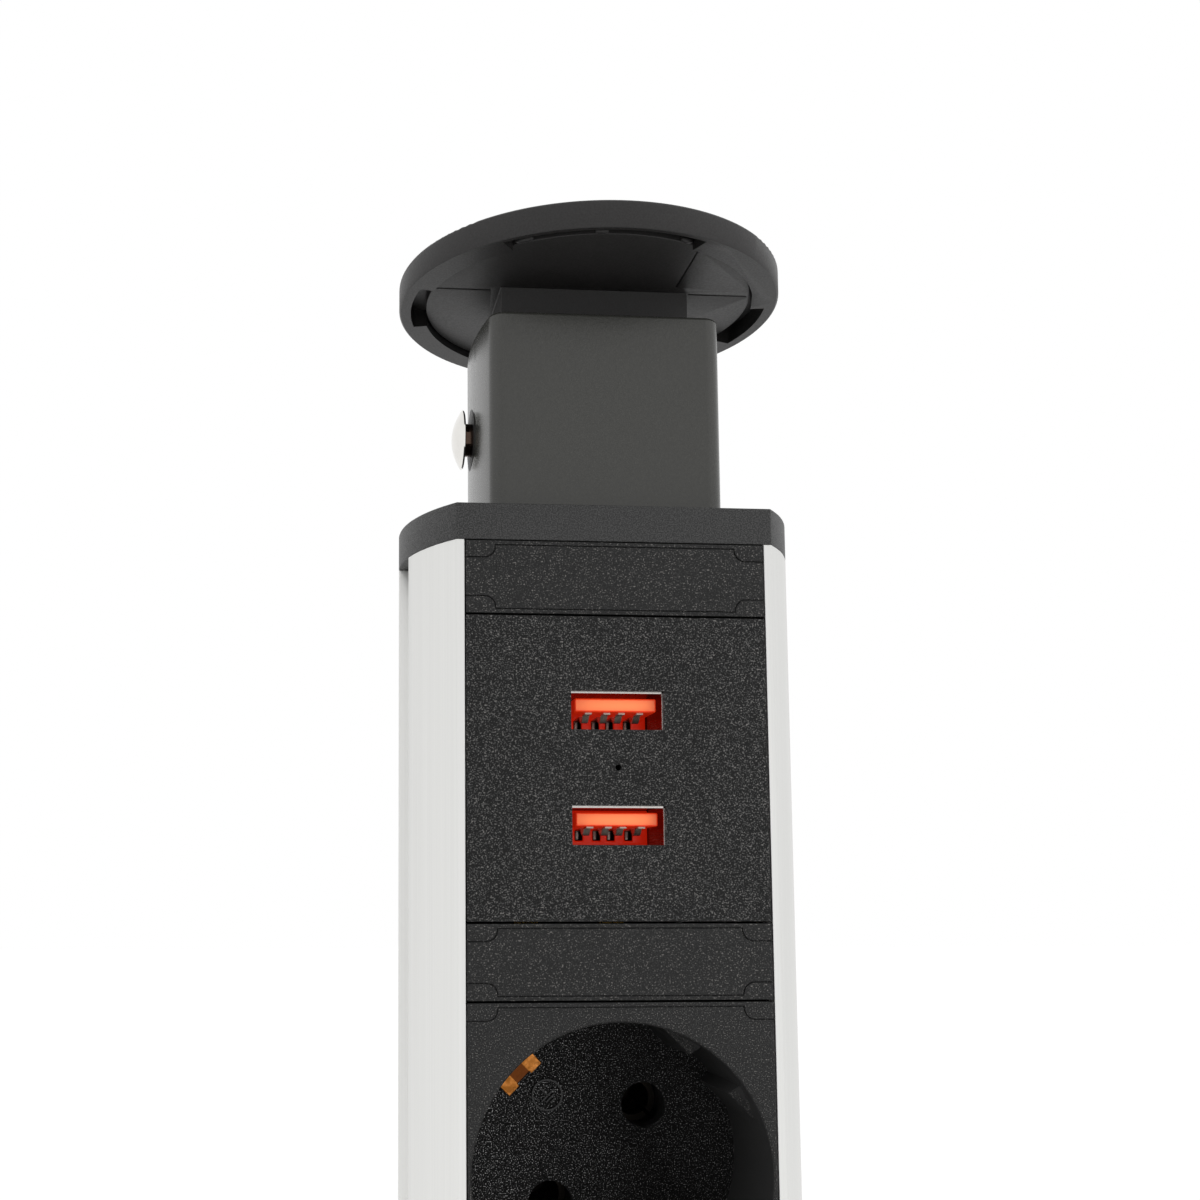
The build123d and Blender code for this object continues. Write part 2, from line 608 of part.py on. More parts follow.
def socket_centres():
    """Heights of the sockets' centres, the top one first."""
    return [SOCKETS_TOP - (index + 0.5) * SOCKET_HEIGHT for index in range(SOCKET_COUNT)]


def bus_bar(x, top):
    """One upright bus bar behind the contacts."""
    bottom = PROFILE_BOTTOM + TERMINAL_HEIGHT / 4
    return block(x - BUS_WIDTH / 2, x + BUS_WIDTH / 2, BUS_Y, BUS_Y + BUS_THICKNESS, bottom, top)


def bus_liner():
    """Insulating strip between the bus bars and the metal profile."""
    y0 = BUS_Y + BUS_THICKNESS
    return block(-LINER_HALF_W, LINER_HALF_W, y0, y0 + LINER_THICK, PROFILE_BOTTOM, USB_TOP)


def terminal_block():
    """Block at the foot of the bus bars where the supply is connected."""
    z1 = PROFILE_BOTTOM + TERMINAL_HEIGHT
    body = block(-TERMINAL_HALF_W, TERMINAL_HALF_W, BUS_Y - TERMINAL_DEPTH, BUS_Y, PROFILE_BOTTOM, z1)
    for x in (-PIN_SHIFT, 0, PIN_SHIFT):
        body -= rod(TERMINAL_SCREW_R, x, BUS_Y - TERMINAL_DEPTH / 2, PROFILE_BOTTOM - CUT, z1 - WIRE_HOLE_TOP)
        body -= rod_y(TERMINAL_SCREW_R + SCREW_GAP, x, z1 - TERMINAL_SCREW_DROP,
                      BUS_Y - TERMINAL_DEPTH - CUT, BUS_Y - TERMINAL_DEPTH / 2)
    return body


def terminal_screws():
    """Clamping screws of the terminal block."""
    z = PROFILE_BOTTOM + TERMINAL_HEIGHT - TERMINAL_SCREW_DROP
    front = BUS_Y - TERMINAL_DEPTH
    screws = []
    for x in (-PIN_SHIFT, 0, PIN_SHIFT):
        screw = rod_y(TERMINAL_SCREW_R, x, z, front, front + TERMINAL_DEPTH / 2)
        screw -= block(x - TERMINAL_SCREW_R, x + TERMINAL_SCREW_R, front - CUT, front + SCREW_SLOT,
                       z - SCREW_SLOT / 2, z + SCREW_SLOT / 2)
        screws.append(screw)
    return Compound(children=screws)


def top_trim():
    """Black cap on the column's top end, with pockets for its screws and the neck's."""
    body = prism(column_face(COLUMN_R, FRONT_Y), PROFILE_TOP, TRIM_TOP)
    under = column_face(COLUMN_R - TRIM_RING, FRONT_Y + TRIM_RING)
    for x, y in port_places():
        under -= Pos(x, y) * Circle(REAR_PORT_BOSS_R)
    body -= prism(under, PROFILE_TOP - CUT, TRIM_TOP - TRIM_PLATE)
    for x, y in port_places():
        body -= rod(SCREW_R + SCREW_GAP, x, y, PROFILE_TOP - CUT, TRIM_TOP + CUT)
        body -= rod(SCREW_HEAD_R + COUNTERBORE_GAP, x, y, TRIM_TOP - SCREW_HEAD_H, TRIM_TOP + CUT)
    for x, y in neck_boss_places():
        body -= rod(SCREW_R + SCREW_GAP, x, y, PROFILE_TOP - CUT, TRIM_TOP + CUT)
    return body


def trim_screws():
    """Four screws that hold the trim to the profile's ports."""
    screws = [Pos(x, y, TRIM_TOP - SCREW_HEAD_H) * Rot(180, 0, 0) * pan_screw(TRIM_SCREW_LENGTH)
              for x, y in port_places()]
    return Compound(children=screws)


def neck_boss_places():
    """The neck's four screw bosses, in plan."""
    return [(sx * NECK_BOSS_X, sy * NECK_BOSS_Y) for sx in (-1, 1) for sy in (-1, 1)]


def neck_face(inset):
    """The neck's outline: flat front and back, gently curved sides and rounded corners."""
    half_d = NECK_HALF_DEPTH - inset
    corner, side = NECK_CORNER_X - inset, NECK_HALF_WIDTH - inset
    right = ThreePointArc((corner, -half_d), (side, 0), (corner, half_d))
    left = ThreePointArc((-corner, half_d), (-side, 0), (-corner, -half_d))
    outline = Wire([Line((-corner, -half_d), (corner, -half_d)), right,
                    Line((corner, half_d), (-corner, half_d)), left])
    face = Face(outline)
    return fillet(face.vertices(), max(NECK_CORNER_R - inset, NECK_CORNER_LEAST))


def neck_sleeve():
    """Hollow neck between the column and the lid, closed at the top."""
    body = prism(neck_face(0), TRIM_TOP, NECK_TOP)
    body = fillet(body.edges().group_by(Axis.Z)[-1], NECK_TOP_EDGE)
    body -= prism(neck_face(NECK_WALL), TRIM_TOP - CUT, NECK_TOP - NECK_WALL)
    for x, y in neck_boss_places():
        boss = rod(NECK_BOSS_R, x, y, TRIM_TOP, TRIM_TOP + NECK_BOSS_HEIGHT)
        body += boss & prism(neck_face(NECK_WALL / 2), TRIM_TOP, NECK_TOP)
        body -= rod(SCREW_R + SCREW_GAP, x, y, TRIM_TOP - CUT, TRIM_TOP + NECK_SCREW_LENGTH)
    wall_x = -NECK_HALF_WIDTH + NECK_WALL
    body -= rod_x(BUSH_R + STEM_GAP, 0, button_z(), -NECK_HALF_WIDTH - CUT, 0)
    body -= rod_x(BUSH_FLANGE_R + STEM_GAP, 0, button_z(), wall_x, 0)
    for side in (-1, 1):
        body -= rod(SCREW_R + SCREW_GAP, side * LID_SCREW_X, 0, TRIM_TOP, NECK_TOP + CUT)
    return body


def neck_screws():
    """Four screws up through the trim into the neck."""
    seat = TRIM_TOP - TRIM_PLATE
    return Compound(children=[Pos(x, y, seat) * pan_screw(NECK_SCREW_LENGTH + TRIM_PLATE - SCREW_SPARE)
                              for x, y in neck_boss_places()])


def lid_base():
    """Underside plate of the lid with the block that stands on the neck."""
    top = LID_TOP_Z - LID_TOP
    body = rod(LID_PLATE_R, 0, 0, LID_PLATE_BOTTOM, top)
    body += block(-SPIGOT_HALF_WIDTH, SPIGOT_HALF_WIDTH, -SPIGOT_HALF_DEPTH, SPIGOT_HALF_DEPTH,
                  NECK_TOP, LID_PLATE_BOTTOM)
    for side in (-1, 1):
        body -= rod(SCREW_R + SCREW_GAP, side * LID_SCREW_X, 0, NECK_TOP - CUT,
                    NECK_TOP - NECK_WALL + LID_SCREW_LENGTH + SCREW_SPARE)
    return body


def sector(radius, angle, width):
    """A wedge of a tall cylinder, about an angle in degrees."""
    start, end = math.radians(angle - width / 2), math.radians(angle + width / 2)
    a = (radius * math.cos(start), radius * math.sin(start))
    b = (radius * math.cos(end), radius * math.sin(end))
    mid = (radius * math.cos((start + end) / 2), radius * math.sin((start + end) / 2))
    outline = Wire([Line((0, 0), a), ThreePointArc(a, mid, b), Line(b, (0, 0))])
    return prism(Face(outline), LID_BOTTOM - 2 * CUT, LID_TOP_Z + 2 * CUT)


def lid_cover():
    """Round lid: a top disc with a rim, which is thinned by a slot at each side and a wide one in front."""
    body = rod(LID_R, 0, 0, LID_BOTTOM, LID_TOP_Z)
    body = chamfer(body.edges().filter_by(GeomType.CIRCLE).sort_by(Axis.Z)[0], LID_EDGE)
    body = fillet(body.edges().filter_by(GeomType.CIRCLE).sort_by(Axis.Z)[-1], LID_TOP_EDGE)
    under = LID_TOP_Z - LID_TOP
    body -= rod(LID_RING_R, 0, 0, LID_BOTTOM - CUT, under)
    for angle, radius, width in LID_SLOTS:
        body -= rod(radius, 0, 0, LID_BOTTOM - CUT, under) & sector(LID_R + CUT, angle, width)
    return body


def lid_screws():
    """Two screws up through the neck's top into the lid's block."""
    seat = NECK_TOP - NECK_WALL
    return Compound(children=[Pos(side * LID_SCREW_X, 0, seat) * pan_screw(LID_SCREW_LENGTH) for side in (-1, 1)])


def button_z():
    """Height of the push button's axis."""
    return TRIM_TOP + BUTTON_HEIGHT


BUTTON_SEAT_X = -NECK_HALF_WIDTH - BUTTON_STANDOFF
BUSH_END_X = -NECK_HALF_WIDTH + BUSH_LENGTH
SHOULDER_X = -NECK_HALF_WIDTH + BUSH_GUIDE
CLIP_X = SHOULDER_X + CLIP_GAP
SPRING_START_X = CLIP_X + CLIP_THICKNESS


def release_button():
    """Chrome mushroom button with its stem, pressed towards +X."""
    z = button_z()
    sphere_r = (BUTTON_HEAD_R ** 2 + BUTTON_DOME ** 2) / (2 * BUTTON_DOME)
    rim_x = BUTTON_SEAT_X - BUTTON_RIM
    dome = Pos(rim_x - BUTTON_DOME + sphere_r, 0, z) * Sphere(sphere_r)
    head = dome & rod_x(BUTTON_HEAD_R, 0, z, rim_x - BUTTON_DOME - CUT, rim_x)
    head += rod_x(BUTTON_HEAD_R, 0, z, rim_x, BUTTON_SEAT_X)
    stem = rod_x(STEM_R, 0, z, BUTTON_SEAT_X, CLIP_X)
    tip = rod_x(STEM_TIP_R, 0, z, CLIP_X, SPRING_START_X + CLIP_THICKNESS)
    return head + stem + tip


def button_clip():
    """Ring on the inner end of the stem, which stops the button and takes the spring."""
    z = button_z()
    return rod_x(CLIP_R, 0, z, CLIP_X, SPRING_START_X) - rod_x(STEM_TIP_R, 0, z, CLIP_X - CUT, SPRING_START_X + CUT)


def button_bush():
    """Guide of the button in the neck's wall."""
    z = button_z()
    wall_x = -NECK_HALF_WIDTH + NECK_WALL
    body = rod_x(BUSH_R, 0, z, -NECK_HALF_WIDTH, BUSH_END_X)
    body += rod_x(BUSH_FLANGE_R, 0, z, wall_x, wall_x + BUSH_FLANGE)
    body -= rod_x(STEM_R + STEM_GAP, 0, z, -NECK_HALF_WIDTH - CUT, SHOULDER_X + CUT)
    return body - rod_x(BUSH_BORE_R, 0, z, SHOULDER_X, BUSH_END_X + CUT)


def spring_cap():
    """Cap that closes the bush behind the spring."""
    z = button_z()
    body = rod_x(BUSH_R, 0, z, BUSH_END_X, BUSH_END_X + CAP_THICKNESS / 2)
    return body + rod_x(BUSH_BORE_R - STEM_GAP, 0, z, BUSH_END_X - CAP_THICKNESS / 2, BUSH_END_X)


def button_spring():
    """Return spring between the stem's ring and the cap."""
    start = SPRING_START_X + SPRING_WIRE_R
    length = BUSH_END_X - CAP_THICKNESS / 2 - SPRING_WIRE_R - start
    pitch = length / SPRING_TURNS
    path = Helix(pitch, length, SPRING_R)
    profile = Plane(origin=path @ 0, z_dir=path % 0) * Circle(SPRING_WIRE_R)
    coil = sweep(profile, path)
    return Pos(start, 0, button_z()) * Rot(0, 90, 0) * coil


def foot_cap():
    """Bottom end cap: its rim stops the tower in the collar, and its chamber leads to the cord's gland."""
    top = PROFILE_BOTTOM
    body = prism(column_face(STOP_R, FRONT_Y), top - FOOT_HEIGHT, top)
    body += rod(FOOT_CHAMBER_R, 0, 0, top - FOOT_HEIGHT - FOOT_CHAMBER_DEPTH, top - FOOT_HEIGHT)
    body -= rod(FOOT_CHAMBER_R - FOOT_WALL, 0, 0, top - FOOT_HEIGHT - FOOT_CHAMBER_DEPTH + FOOT_WALL,
                top - FOOT_WALL)
    body -= block(-TERMINAL_HALF_W, TERMINAL_HALF_W, FRONT_Y + FOOT_WINDOW_SETBACK, BUS_Y - TERMINAL_DEPTH - CUT,
                  top - FOOT_HEIGHT, top + CUT)
    body -= rod(GLAND_R, 0, 0, top - FOOT_HEIGHT - FOOT_CHAMBER_DEPTH - CUT, top - FOOT_HEIGHT)
    for x, y in port_places():
        body -= rod(SCREW_R + SCREW_GAP, x, y, top - FOOT_HEIGHT - CUT, top + CUT)
        body -= rod(SCREW_HEAD_R + COUNTERBORE_GAP, x, y, top - FOOT_HEIGHT - CUT, top - FOOT_HEIGHT + SCREW_HEAD_H)
    return body


def foot_screws():
    """Four screws that hold the foot to the profile's ports."""
    seat = PROFILE_BOTTOM - FOOT_HEIGHT + SCREW_HEAD_H
    return Compound(children=[Pos(x, y, seat) * pan_screw(TRIM_SCREW_LENGTH) for x, y in port_places()])


def cord_gland():
    """Gland where the supply cord enters, with a hexagon to hold it."""
    seat = PROFILE_BOTTOM - FOOT_HEIGHT - FOOT_CHAMBER_DEPTH
    body = rod(GLAND_R - SCREW_GAP, 0, 0, seat, seat + FOOT_WALL)
    body += prism(RegularPolygon(GLAND_HEX / 2, 6), seat - GLAND_HEX_HEIGHT, seat)
    tail = rod(GLAND_R, 0, 0, seat - GLAND_HEX_HEIGHT - GLAND_TAIL, seat - GLAND_HEX_HEIGHT)
    body += chamfer(tail.edges().filter_by(GeomType.CIRCLE).sort_by(Axis.Z)[0], GLAND_EDGE)
    return body - rod(CORD_R, 0, 0, seat - GLAND_HEX_HEIGHT - GLAND_TAIL - CUT, seat + FOOT_WALL + CUT)


def desk_collar():
    """Collar that clamps in the desk: flange with the lid's seat, threaded barrel and two guide keys."""
    bore_r, bore_y = COLUMN_R + BORE_GAP, FRONT_Y - BORE_GAP
    flange = rod(FLANGE_R, 0, 0, 0, FLANGE_HEIGHT)
    body = chamfer(flange.edges().filter_by(GeomType.CIRCLE).sort_by(Axis.Z)[-1], FLANGE_EDGE)
    body += rod(BARREL_R, 0, 0, -DESK_THICKNESS, 0) + rod(THREAD_R, 0, 0, -BARREL_LENGTH, -DESK_THICKNESS)
    body -= prism(column_face(bore_r, bore_y), -BARREL_LENGTH - CUT, FLANGE_HEIGHT + CUT)
    body -= rod(LID_R + LID_SEAT_GAP, 0, 0, LID_SEAT_Z, FLANGE_HEIGHT + CUT)
    core = Circle(THREAD_R - COLLAR_WALL) - column_face(THREAD_R, bore_y - COLLAR_WALL)
    body -= prism(core, -BARREL_LENGTH - CUT, -COLLAR_WALL)
    wiper = column_face(COLUMN_R + WIPER_GAP + WIPER_WIDTH, FRONT_Y - WIPER_GAP - WIPER_WIDTH)
    body -= prism(wiper, WIPER_Z, WIPER_Z + WIPER_HEIGHT)
    key = block(COLUMN_R - GUIDE_GROOVE_DEPTH + KEY_GAP, THREAD_R, GUIDE_GROOVE_Y0 + KEY_GAP,
                GUIDE_GROOVE_Y1 - KEY_GAP, -BARREL_LENGTH, KEY_TOP)
    return body + both_sides(key & rod(THREAD_R, 0, 0, -BARREL_LENGTH, KEY_TOP))


def wiper_ring():
    """Felt ring in the flange that steadies and wipes the column."""
    outer = column_face(COLUMN_R + WIPER_GAP + WIPER_WIDTH, FRONT_Y - WIPER_GAP - WIPER_WIDTH)
    return prism(outer - column_face(COLUMN_R + WIPER_GAP, FRONT_Y - WIPER_GAP), WIPER_Z, WIPER_Z + WIPER_HEIGHT)


def ring_nut():
    """Nut that clamps the collar from under the desk, with grips round its rim."""
    top = -DESK_THICKNESS - WASHER_HEIGHT
    body = rod(NUT_R, 0, 0, top - NUT_HEIGHT, top)
    for index in range(NUT_GRIPS):
        angle = 2 * math.pi * index / NUT_GRIPS
        body -= rod(NUT_GRIP_R, NUT_R * math.cos(angle), NUT_R * math.sin(angle),
                    top - NUT_HEIGHT - CUT, top - NUT_SHOULDER)
    return body - rod(THREAD_R + NUT_GAP, 0, 0, top - NUT_HEIGHT - CUT, top + CUT)


def nut_washer():
    """Rubber washer between the nut and the desk."""
    ring = rod(NUT_R, 0, 0, -DESK_THICKNESS - WASHER_HEIGHT, -DESK_THICKNESS)
    return ring - rod(THREAD_R + NUT_GAP, 0, 0, -DESK_THICKNESS - WASHER_HEIGHT - CUT, -DESK_THICKNESS + CUT)


def all_pieces():
    """Every node of the object by name."""
    bus_top = USB_CENTRE
    pieces = {
        "column_profile": column_profile(), "top_trim": top_trim(), "trim_screws": trim_screws(),
        "neck_sleeve": neck_sleeve(), "neck_screws": neck_screws(),
        "lid_base": lid_base(), "lid_cover": lid_cover(), "lid_screws": lid_screws(),
        "release_button": release_button(), "button_clip": button_clip(), "button_bush": button_bush(),
        "button_spring": button_spring(), "spring_cap": spring_cap(),
        "spacer_upper": spacer(USB_TOP, PROFILE_TOP), "spacer_lower": spacer(SOCKETS_TOP, USB_BOTTOM),
        "blank_cover": spacer(PROFILE_BOTTOM, SOCKETS_BOTTOM),
        "usb_plate": usb_plate(), "usb_board": usb_board(), "usb_rear_cover": usb_rear_cover(),
        "usb_transformer": usb_transformer(), "usb_capacitors": usb_capacitors(), "usb_led": usb_led(),
        "usb_supply_pins": usb_supply_pins(),
        "carrier_screws": carrier_screws(), "bus_liner": bus_liner(),
        "live_bus": bus_bar(PIN_SHIFT, bus_top), "neutral_bus": bus_bar(-PIN_SHIFT, bus_top),
        "earth_bus": bus_bar(0, SOCKETS_TOP),
        "terminal_block": terminal_block(), "terminal_screws": terminal_screws(),
        "foot_cap": foot_cap(), "foot_screws": foot_screws(), "cord_gland": cord_gland(),
        "desk_collar": desk_collar(), "wiper_ring": wiper_ring(), "ring_nut": ring_nut(),
        "nut_washer": nut_washer(),
    }
    for name, z in port_places_z().items():
        pieces["usb_shell_" + name] = usb_shell(z)
        pieces["usb_tongue_" + name] = usb_tongue(z)
        pieces["usb_contacts_" + name] = usb_contacts(z)
    for index, z in enumerate(socket_centres(), 1):
        pieces[f"socket_insert_{index}"] = socket_insert(z)
        pieces[f"earth_clip_{index}"] = earth_clip(z)
        pieces[f"contact_carrier_{index}"] = contact_carrier(z)
        pieces[f"pin_contacts_{index}"] = pin_contacts(z)
    return pieces


for node, shape in all_pieces().items():
    export_step(shape, f"parts/{node}.step")
print("tower travel", round(TOWER_TRAVEL, 3), "profile top", round(PROFILE_TOP, 3))
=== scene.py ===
"""Pull-up desk socket tower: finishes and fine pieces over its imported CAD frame, for Blender 4.5.

Every piece sits at the origin with its place in its mesh, in the frame's own coordinates: metres, Z up,
the flat front with the sockets facing -Y. Run as a script, it dresses the whole tower and its stage.
"""
import json
import math
import bmesh
import bpy
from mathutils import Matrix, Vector


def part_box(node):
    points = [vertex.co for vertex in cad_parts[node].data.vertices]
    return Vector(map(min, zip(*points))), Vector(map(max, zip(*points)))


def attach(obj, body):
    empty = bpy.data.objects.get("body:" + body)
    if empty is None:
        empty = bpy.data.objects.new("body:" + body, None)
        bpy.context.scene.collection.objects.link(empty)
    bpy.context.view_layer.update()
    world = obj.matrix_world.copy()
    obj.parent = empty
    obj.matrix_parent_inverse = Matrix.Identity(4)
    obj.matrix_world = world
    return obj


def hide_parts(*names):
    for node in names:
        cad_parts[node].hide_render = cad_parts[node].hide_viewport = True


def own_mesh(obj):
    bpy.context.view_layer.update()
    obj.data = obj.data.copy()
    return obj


bl_info = {
    "name": "Desk Socket Tower",
    "version": (1, 0, 0),
    "blender": (4, 5, 0),
    "location": "View3D > Sidebar > Tower",
    "description": "Dresses a pull-up desk socket tower over its CAD frame",
    "category": "Object",
}

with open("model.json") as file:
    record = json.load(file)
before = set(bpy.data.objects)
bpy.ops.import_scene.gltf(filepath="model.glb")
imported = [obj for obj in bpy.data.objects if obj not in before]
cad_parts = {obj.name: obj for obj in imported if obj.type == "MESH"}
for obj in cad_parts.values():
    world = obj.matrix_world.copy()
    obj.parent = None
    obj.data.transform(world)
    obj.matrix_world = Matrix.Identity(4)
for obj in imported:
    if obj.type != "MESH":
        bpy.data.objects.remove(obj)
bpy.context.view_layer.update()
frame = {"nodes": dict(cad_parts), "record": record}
BODY_OF = {node: body for body, nodes in frame["record"]["behaviour"]["bodies"].items() for node in nodes}
SLOT_OF = {part["node"]: part["material_slot"] for part in frame["record"]["subparts"]}
MM = 0.001
LIGHT_EDGE = 0.15 * MM
CREASE_ANGLE = math.radians(30)
SMOOTH_ANGLE = math.radians(35)
PORTS = ("upper", "lower")
SOCKETS = (1, 2, 3)
# Where the contact slots start in the back wall of the ports.
SLOT_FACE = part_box("usb_contacts_upper")[1].y - 1.45 * MM
INSERTS = [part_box(f"socket_insert_{index}") for index in SOCKETS[:2]]
SOCKET_MIDDLE = (INSERTS[0][0].z + INSERTS[0][1].z) / 2
SOCKET_PITCH = INSERTS[0][0].z - INSERTS[1][0].z


def linear(hex_code):
    """An sRGB colour such as "#3A3A3A" as linear red, green, blue and alpha."""
    parts = [int(hex_code[i:i + 2], 16) / 255 for i in (1, 3, 5)]
    return tuple(c / 12.92 if c <= 0.04045 else ((c + 0.055) / 1.055) ** 2.4 for c in parts) + (1.0,)


def colour_property(label, words, hex_code):
    """A colour that a user may change, with its default as an sRGB hex value."""
    return bpy.props.FloatVectorProperty(name=label, description=words, subtype="COLOR", size=4,
                                         min=0.0, max=1.0, default=linear(hex_code))


def length_property(label, words, value):
    """A length that a user may change, in metres."""
    return bpy.props.FloatProperty(name=label, description=words, unit="LENGTH", subtype="DISTANCE",
                                   min=0.0, precision=5, default=value)


def number_property(label, words, value):
    """A number that a user may change."""
    return bpy.props.FloatProperty(name=label, description=words, default=value)


# Settings

class TowerSizes(bpy.types.PropertyGroup):
    """Sizes of the fine shapes that are added to the frame."""
    body_edge: length_property("Body edge", "Rounding on the edges of the large mouldings", 0.35 * MM)
    face_edge: length_property("Face edge", "Rounding on the edges of the front pieces", 0.04 * MM)
    metal_edge: length_property("Metal edge", "Rounding on the edges of the extrusion", 0.12 * MM)
    thread_pitch: length_property("Thread pitch", "Distance between the ridges of the thread", 2.0 * MM)
    grit: length_property("Grit", "Grain size of the textured mouldings", 0.11 * MM)
    seam: length_property("Seam", "Width of the seams under the lid", 0.08 * MM)


class TowerColours(bpy.types.PropertyGroup):
    """Colours of the finishes."""
    textured: colour_property("Textured plastic", "Front pieces, trim and sockets", "#1E1E1E")
    smooth: colour_property("Smooth plastic", "Neck", "#32322F")
    lid: colour_property("Lid plastic", "Lid and its underside", "#2D2C2C")
    aluminium: colour_property("Aluminium", "Anodised extrusion", "#E6E6E4")
    orange: colour_property("Port orange", "Insulators of the charging ports", "#F5481A")
    copper: colour_property("Earth copper", "Earth clips of the sockets", "#C07C3E")


class TowerStage(bpy.types.PropertyGroup):
    """Floor, lamps and camera."""
    floor_height: number_property("Floor height", "Height of the floor in metres", -0.331)
    key_power: number_property("Key", "Power of the left softbox in watts", 14.0)
    fill_power: number_property("Fill", "Power of the right softbox in watts", 18.0)
    room_light: number_property("Room", "Strength of the even room light", 0.20)


def sizes():
    """The scene's size settings."""
    return bpy.context.scene.tower_sizes


def colours():
    """The scene's colour settings."""
    return bpy.context.scene.tower_colours


# Finishes

ABS = {"IOR": 1.53}
DULL_ABS = {"IOR": 1.53, "Specular IOR Level": 0.25}
METAL = {"Metallic": 1.0}
GRIT_DEPTH = 0.03 * MM
# Colour of the painted glints on the highest grains of the grit.
PALE_TIP = "#A8A4A0"


def add(tree, kind, inputs=None, **settings):
    """One node of a shader or geometry tree. An input takes a plain value or the socket that feeds it."""
    made = tree.nodes.new(kind)
    for key, value in settings.items():
        setattr(made, key, value)
    for key, value in (inputs or {}).items():
        if isinstance(value, bpy.types.NodeSocket):
            tree.links.new(value, made.inputs[key])
        else:
            made.inputs[key].default_value = value
    return made


def feed(tree, node, sources):
    """Links sockets to a node's inputs, in place of what fed them before."""
    for key, source in sources.items():
        tree.links.new(source, node.inputs[key])


def maths(tree, operation, *terms):
    """The result of an operation on values or sockets."""
    return add(tree, "ShaderNodeMath", dict(enumerate(terms)), operation=operation).outputs[0]


def remapped(tree, source, low, high, new_low=0.0, new_high=1.0):
    """A socket's value, moved from one range into another."""
    return add(tree, "ShaderNodeMapRange", {"Value": source, "From Min": low, "From Max": high,
                                            "To Min": new_low, "To Max": new_high}).outputs[0]


def blended(tree, share, first, second):
    """The colour that lies this share of the way from the first to the second."""
    return add(tree, "ShaderNodeMix", {0: share, 6: first, 7: second}, data_type="RGBA").outputs[2]


def axes(tree, source):
    """The X, Y and Z of a place or a direction."""
    return add(tree, "ShaderNodeSeparateXYZ", {0: source}).outputs


def finish(name, colour, values):
    """A new material: its shader, with the colour and the plain values on the shader's own sockets."""
    made = bpy.data.materials.new(name)
    made.use_nodes = True
    shader = made.node_tree.nodes["Principled BSDF"]
    shader.inputs["Base Color"].default_value = colour
    for key, value in values.items():
        shader.inputs[key].default_value = value
    return made, made.node_tree, shader


def shade(colour, factor):
    """A colour made lighter or darker."""
    return tuple(min(1.0, c * factor) for c in colour[:3]) + (1.0,)


def grained(tree, shader, colour, grain, depth, spread, rough, stretch=(1.0, 1.0, 1.0)):
    """Grain of a real size in metres: it tints the colour, roughens the gloss and raises the surface."""
    place = add(tree, "ShaderNodeTexCoord").outputs
    laid = add(tree, "ShaderNodeMapping", {"Vector": place["Object"], "Scale": stretch}).outputs[0]
    speck = add(tree, "ShaderNodeTexNoise", {"Vector": laid, "Scale": 1 / grain, "Detail": 2.0,
                                             "Roughness": 0.6}).outputs["Fac"]
    sharp = remapped(tree, speck, 0.32, 0.72)
    tint = blended(tree, sharp, shade(colour, 1 - spread), shade(colour, 1 + spread))
    gloss = remapped(tree, sharp, 0.0, 1.0, rough[1], rough[0])
    raised = add(tree, "ShaderNodeBump", {"Strength": 1.0, "Distance": depth, "Height": speck})
    feed(tree, shader, {"Base Color": tint, "Roughness": gloss, "Normal": raised.outputs[0]})
    return place, tint, raised


def glints(tree, shader, place, tint, grain, gloss, power, bright):
    """Facets of the mould's grit: each grain has its own gloss, few a high one, and the best a pale painted
    glint.
    """
    facets = add(tree, "ShaderNodeTexNoise", {"Vector": place["Object"], "Scale": 1 / grain,
                                              "Detail": 0.0}).outputs["Fac"]
    rare = maths(tree, "POWER", remapped(tree, facets, 0.38, 0.62), power)
    shine = remapped(tree, rare, 0.0, 1.0, *gloss)
    # Painted glints: the highest grains get a pale colour, as if they caught the light.
    tipped = blended(tree, remapped(tree, facets, 0.66, 1.1), tint, linear(bright))
    feed(tree, shader, {"Specular IOR Level": shine, "Base Color": tipped})
    return shine, facets, tipped


def eroded_abs(name, gloss, power):
    """Black ABS with the fine grit of a spark-eroded mould; gloss is the range over its grains."""
    colour, grit = colours().textured, sizes().grit
    made, tree, shader = finish(name, colour, DULL_ABS)
    place, tint, _ = grained(tree, shader, colour, 0.7 * grit, GRIT_DEPTH, 0.5, (0.42, 0.62))
    glints(tree, shader, place, tint, 1.7 * grit, gloss, power, PALE_TIP)
    return made


def textured_abs():
    """The blank pieces: a matt black face with faint glints."""
    return eroded_abs("Spark-eroded ABS", (0.21, 0.38), 2.0)


def plate_abs():
    """The face of the charging module, with a coarser bite than the blank pieces."""
    return eroded_abs("Coarse spark-eroded ABS", (0.11, 0.66), 3.5)


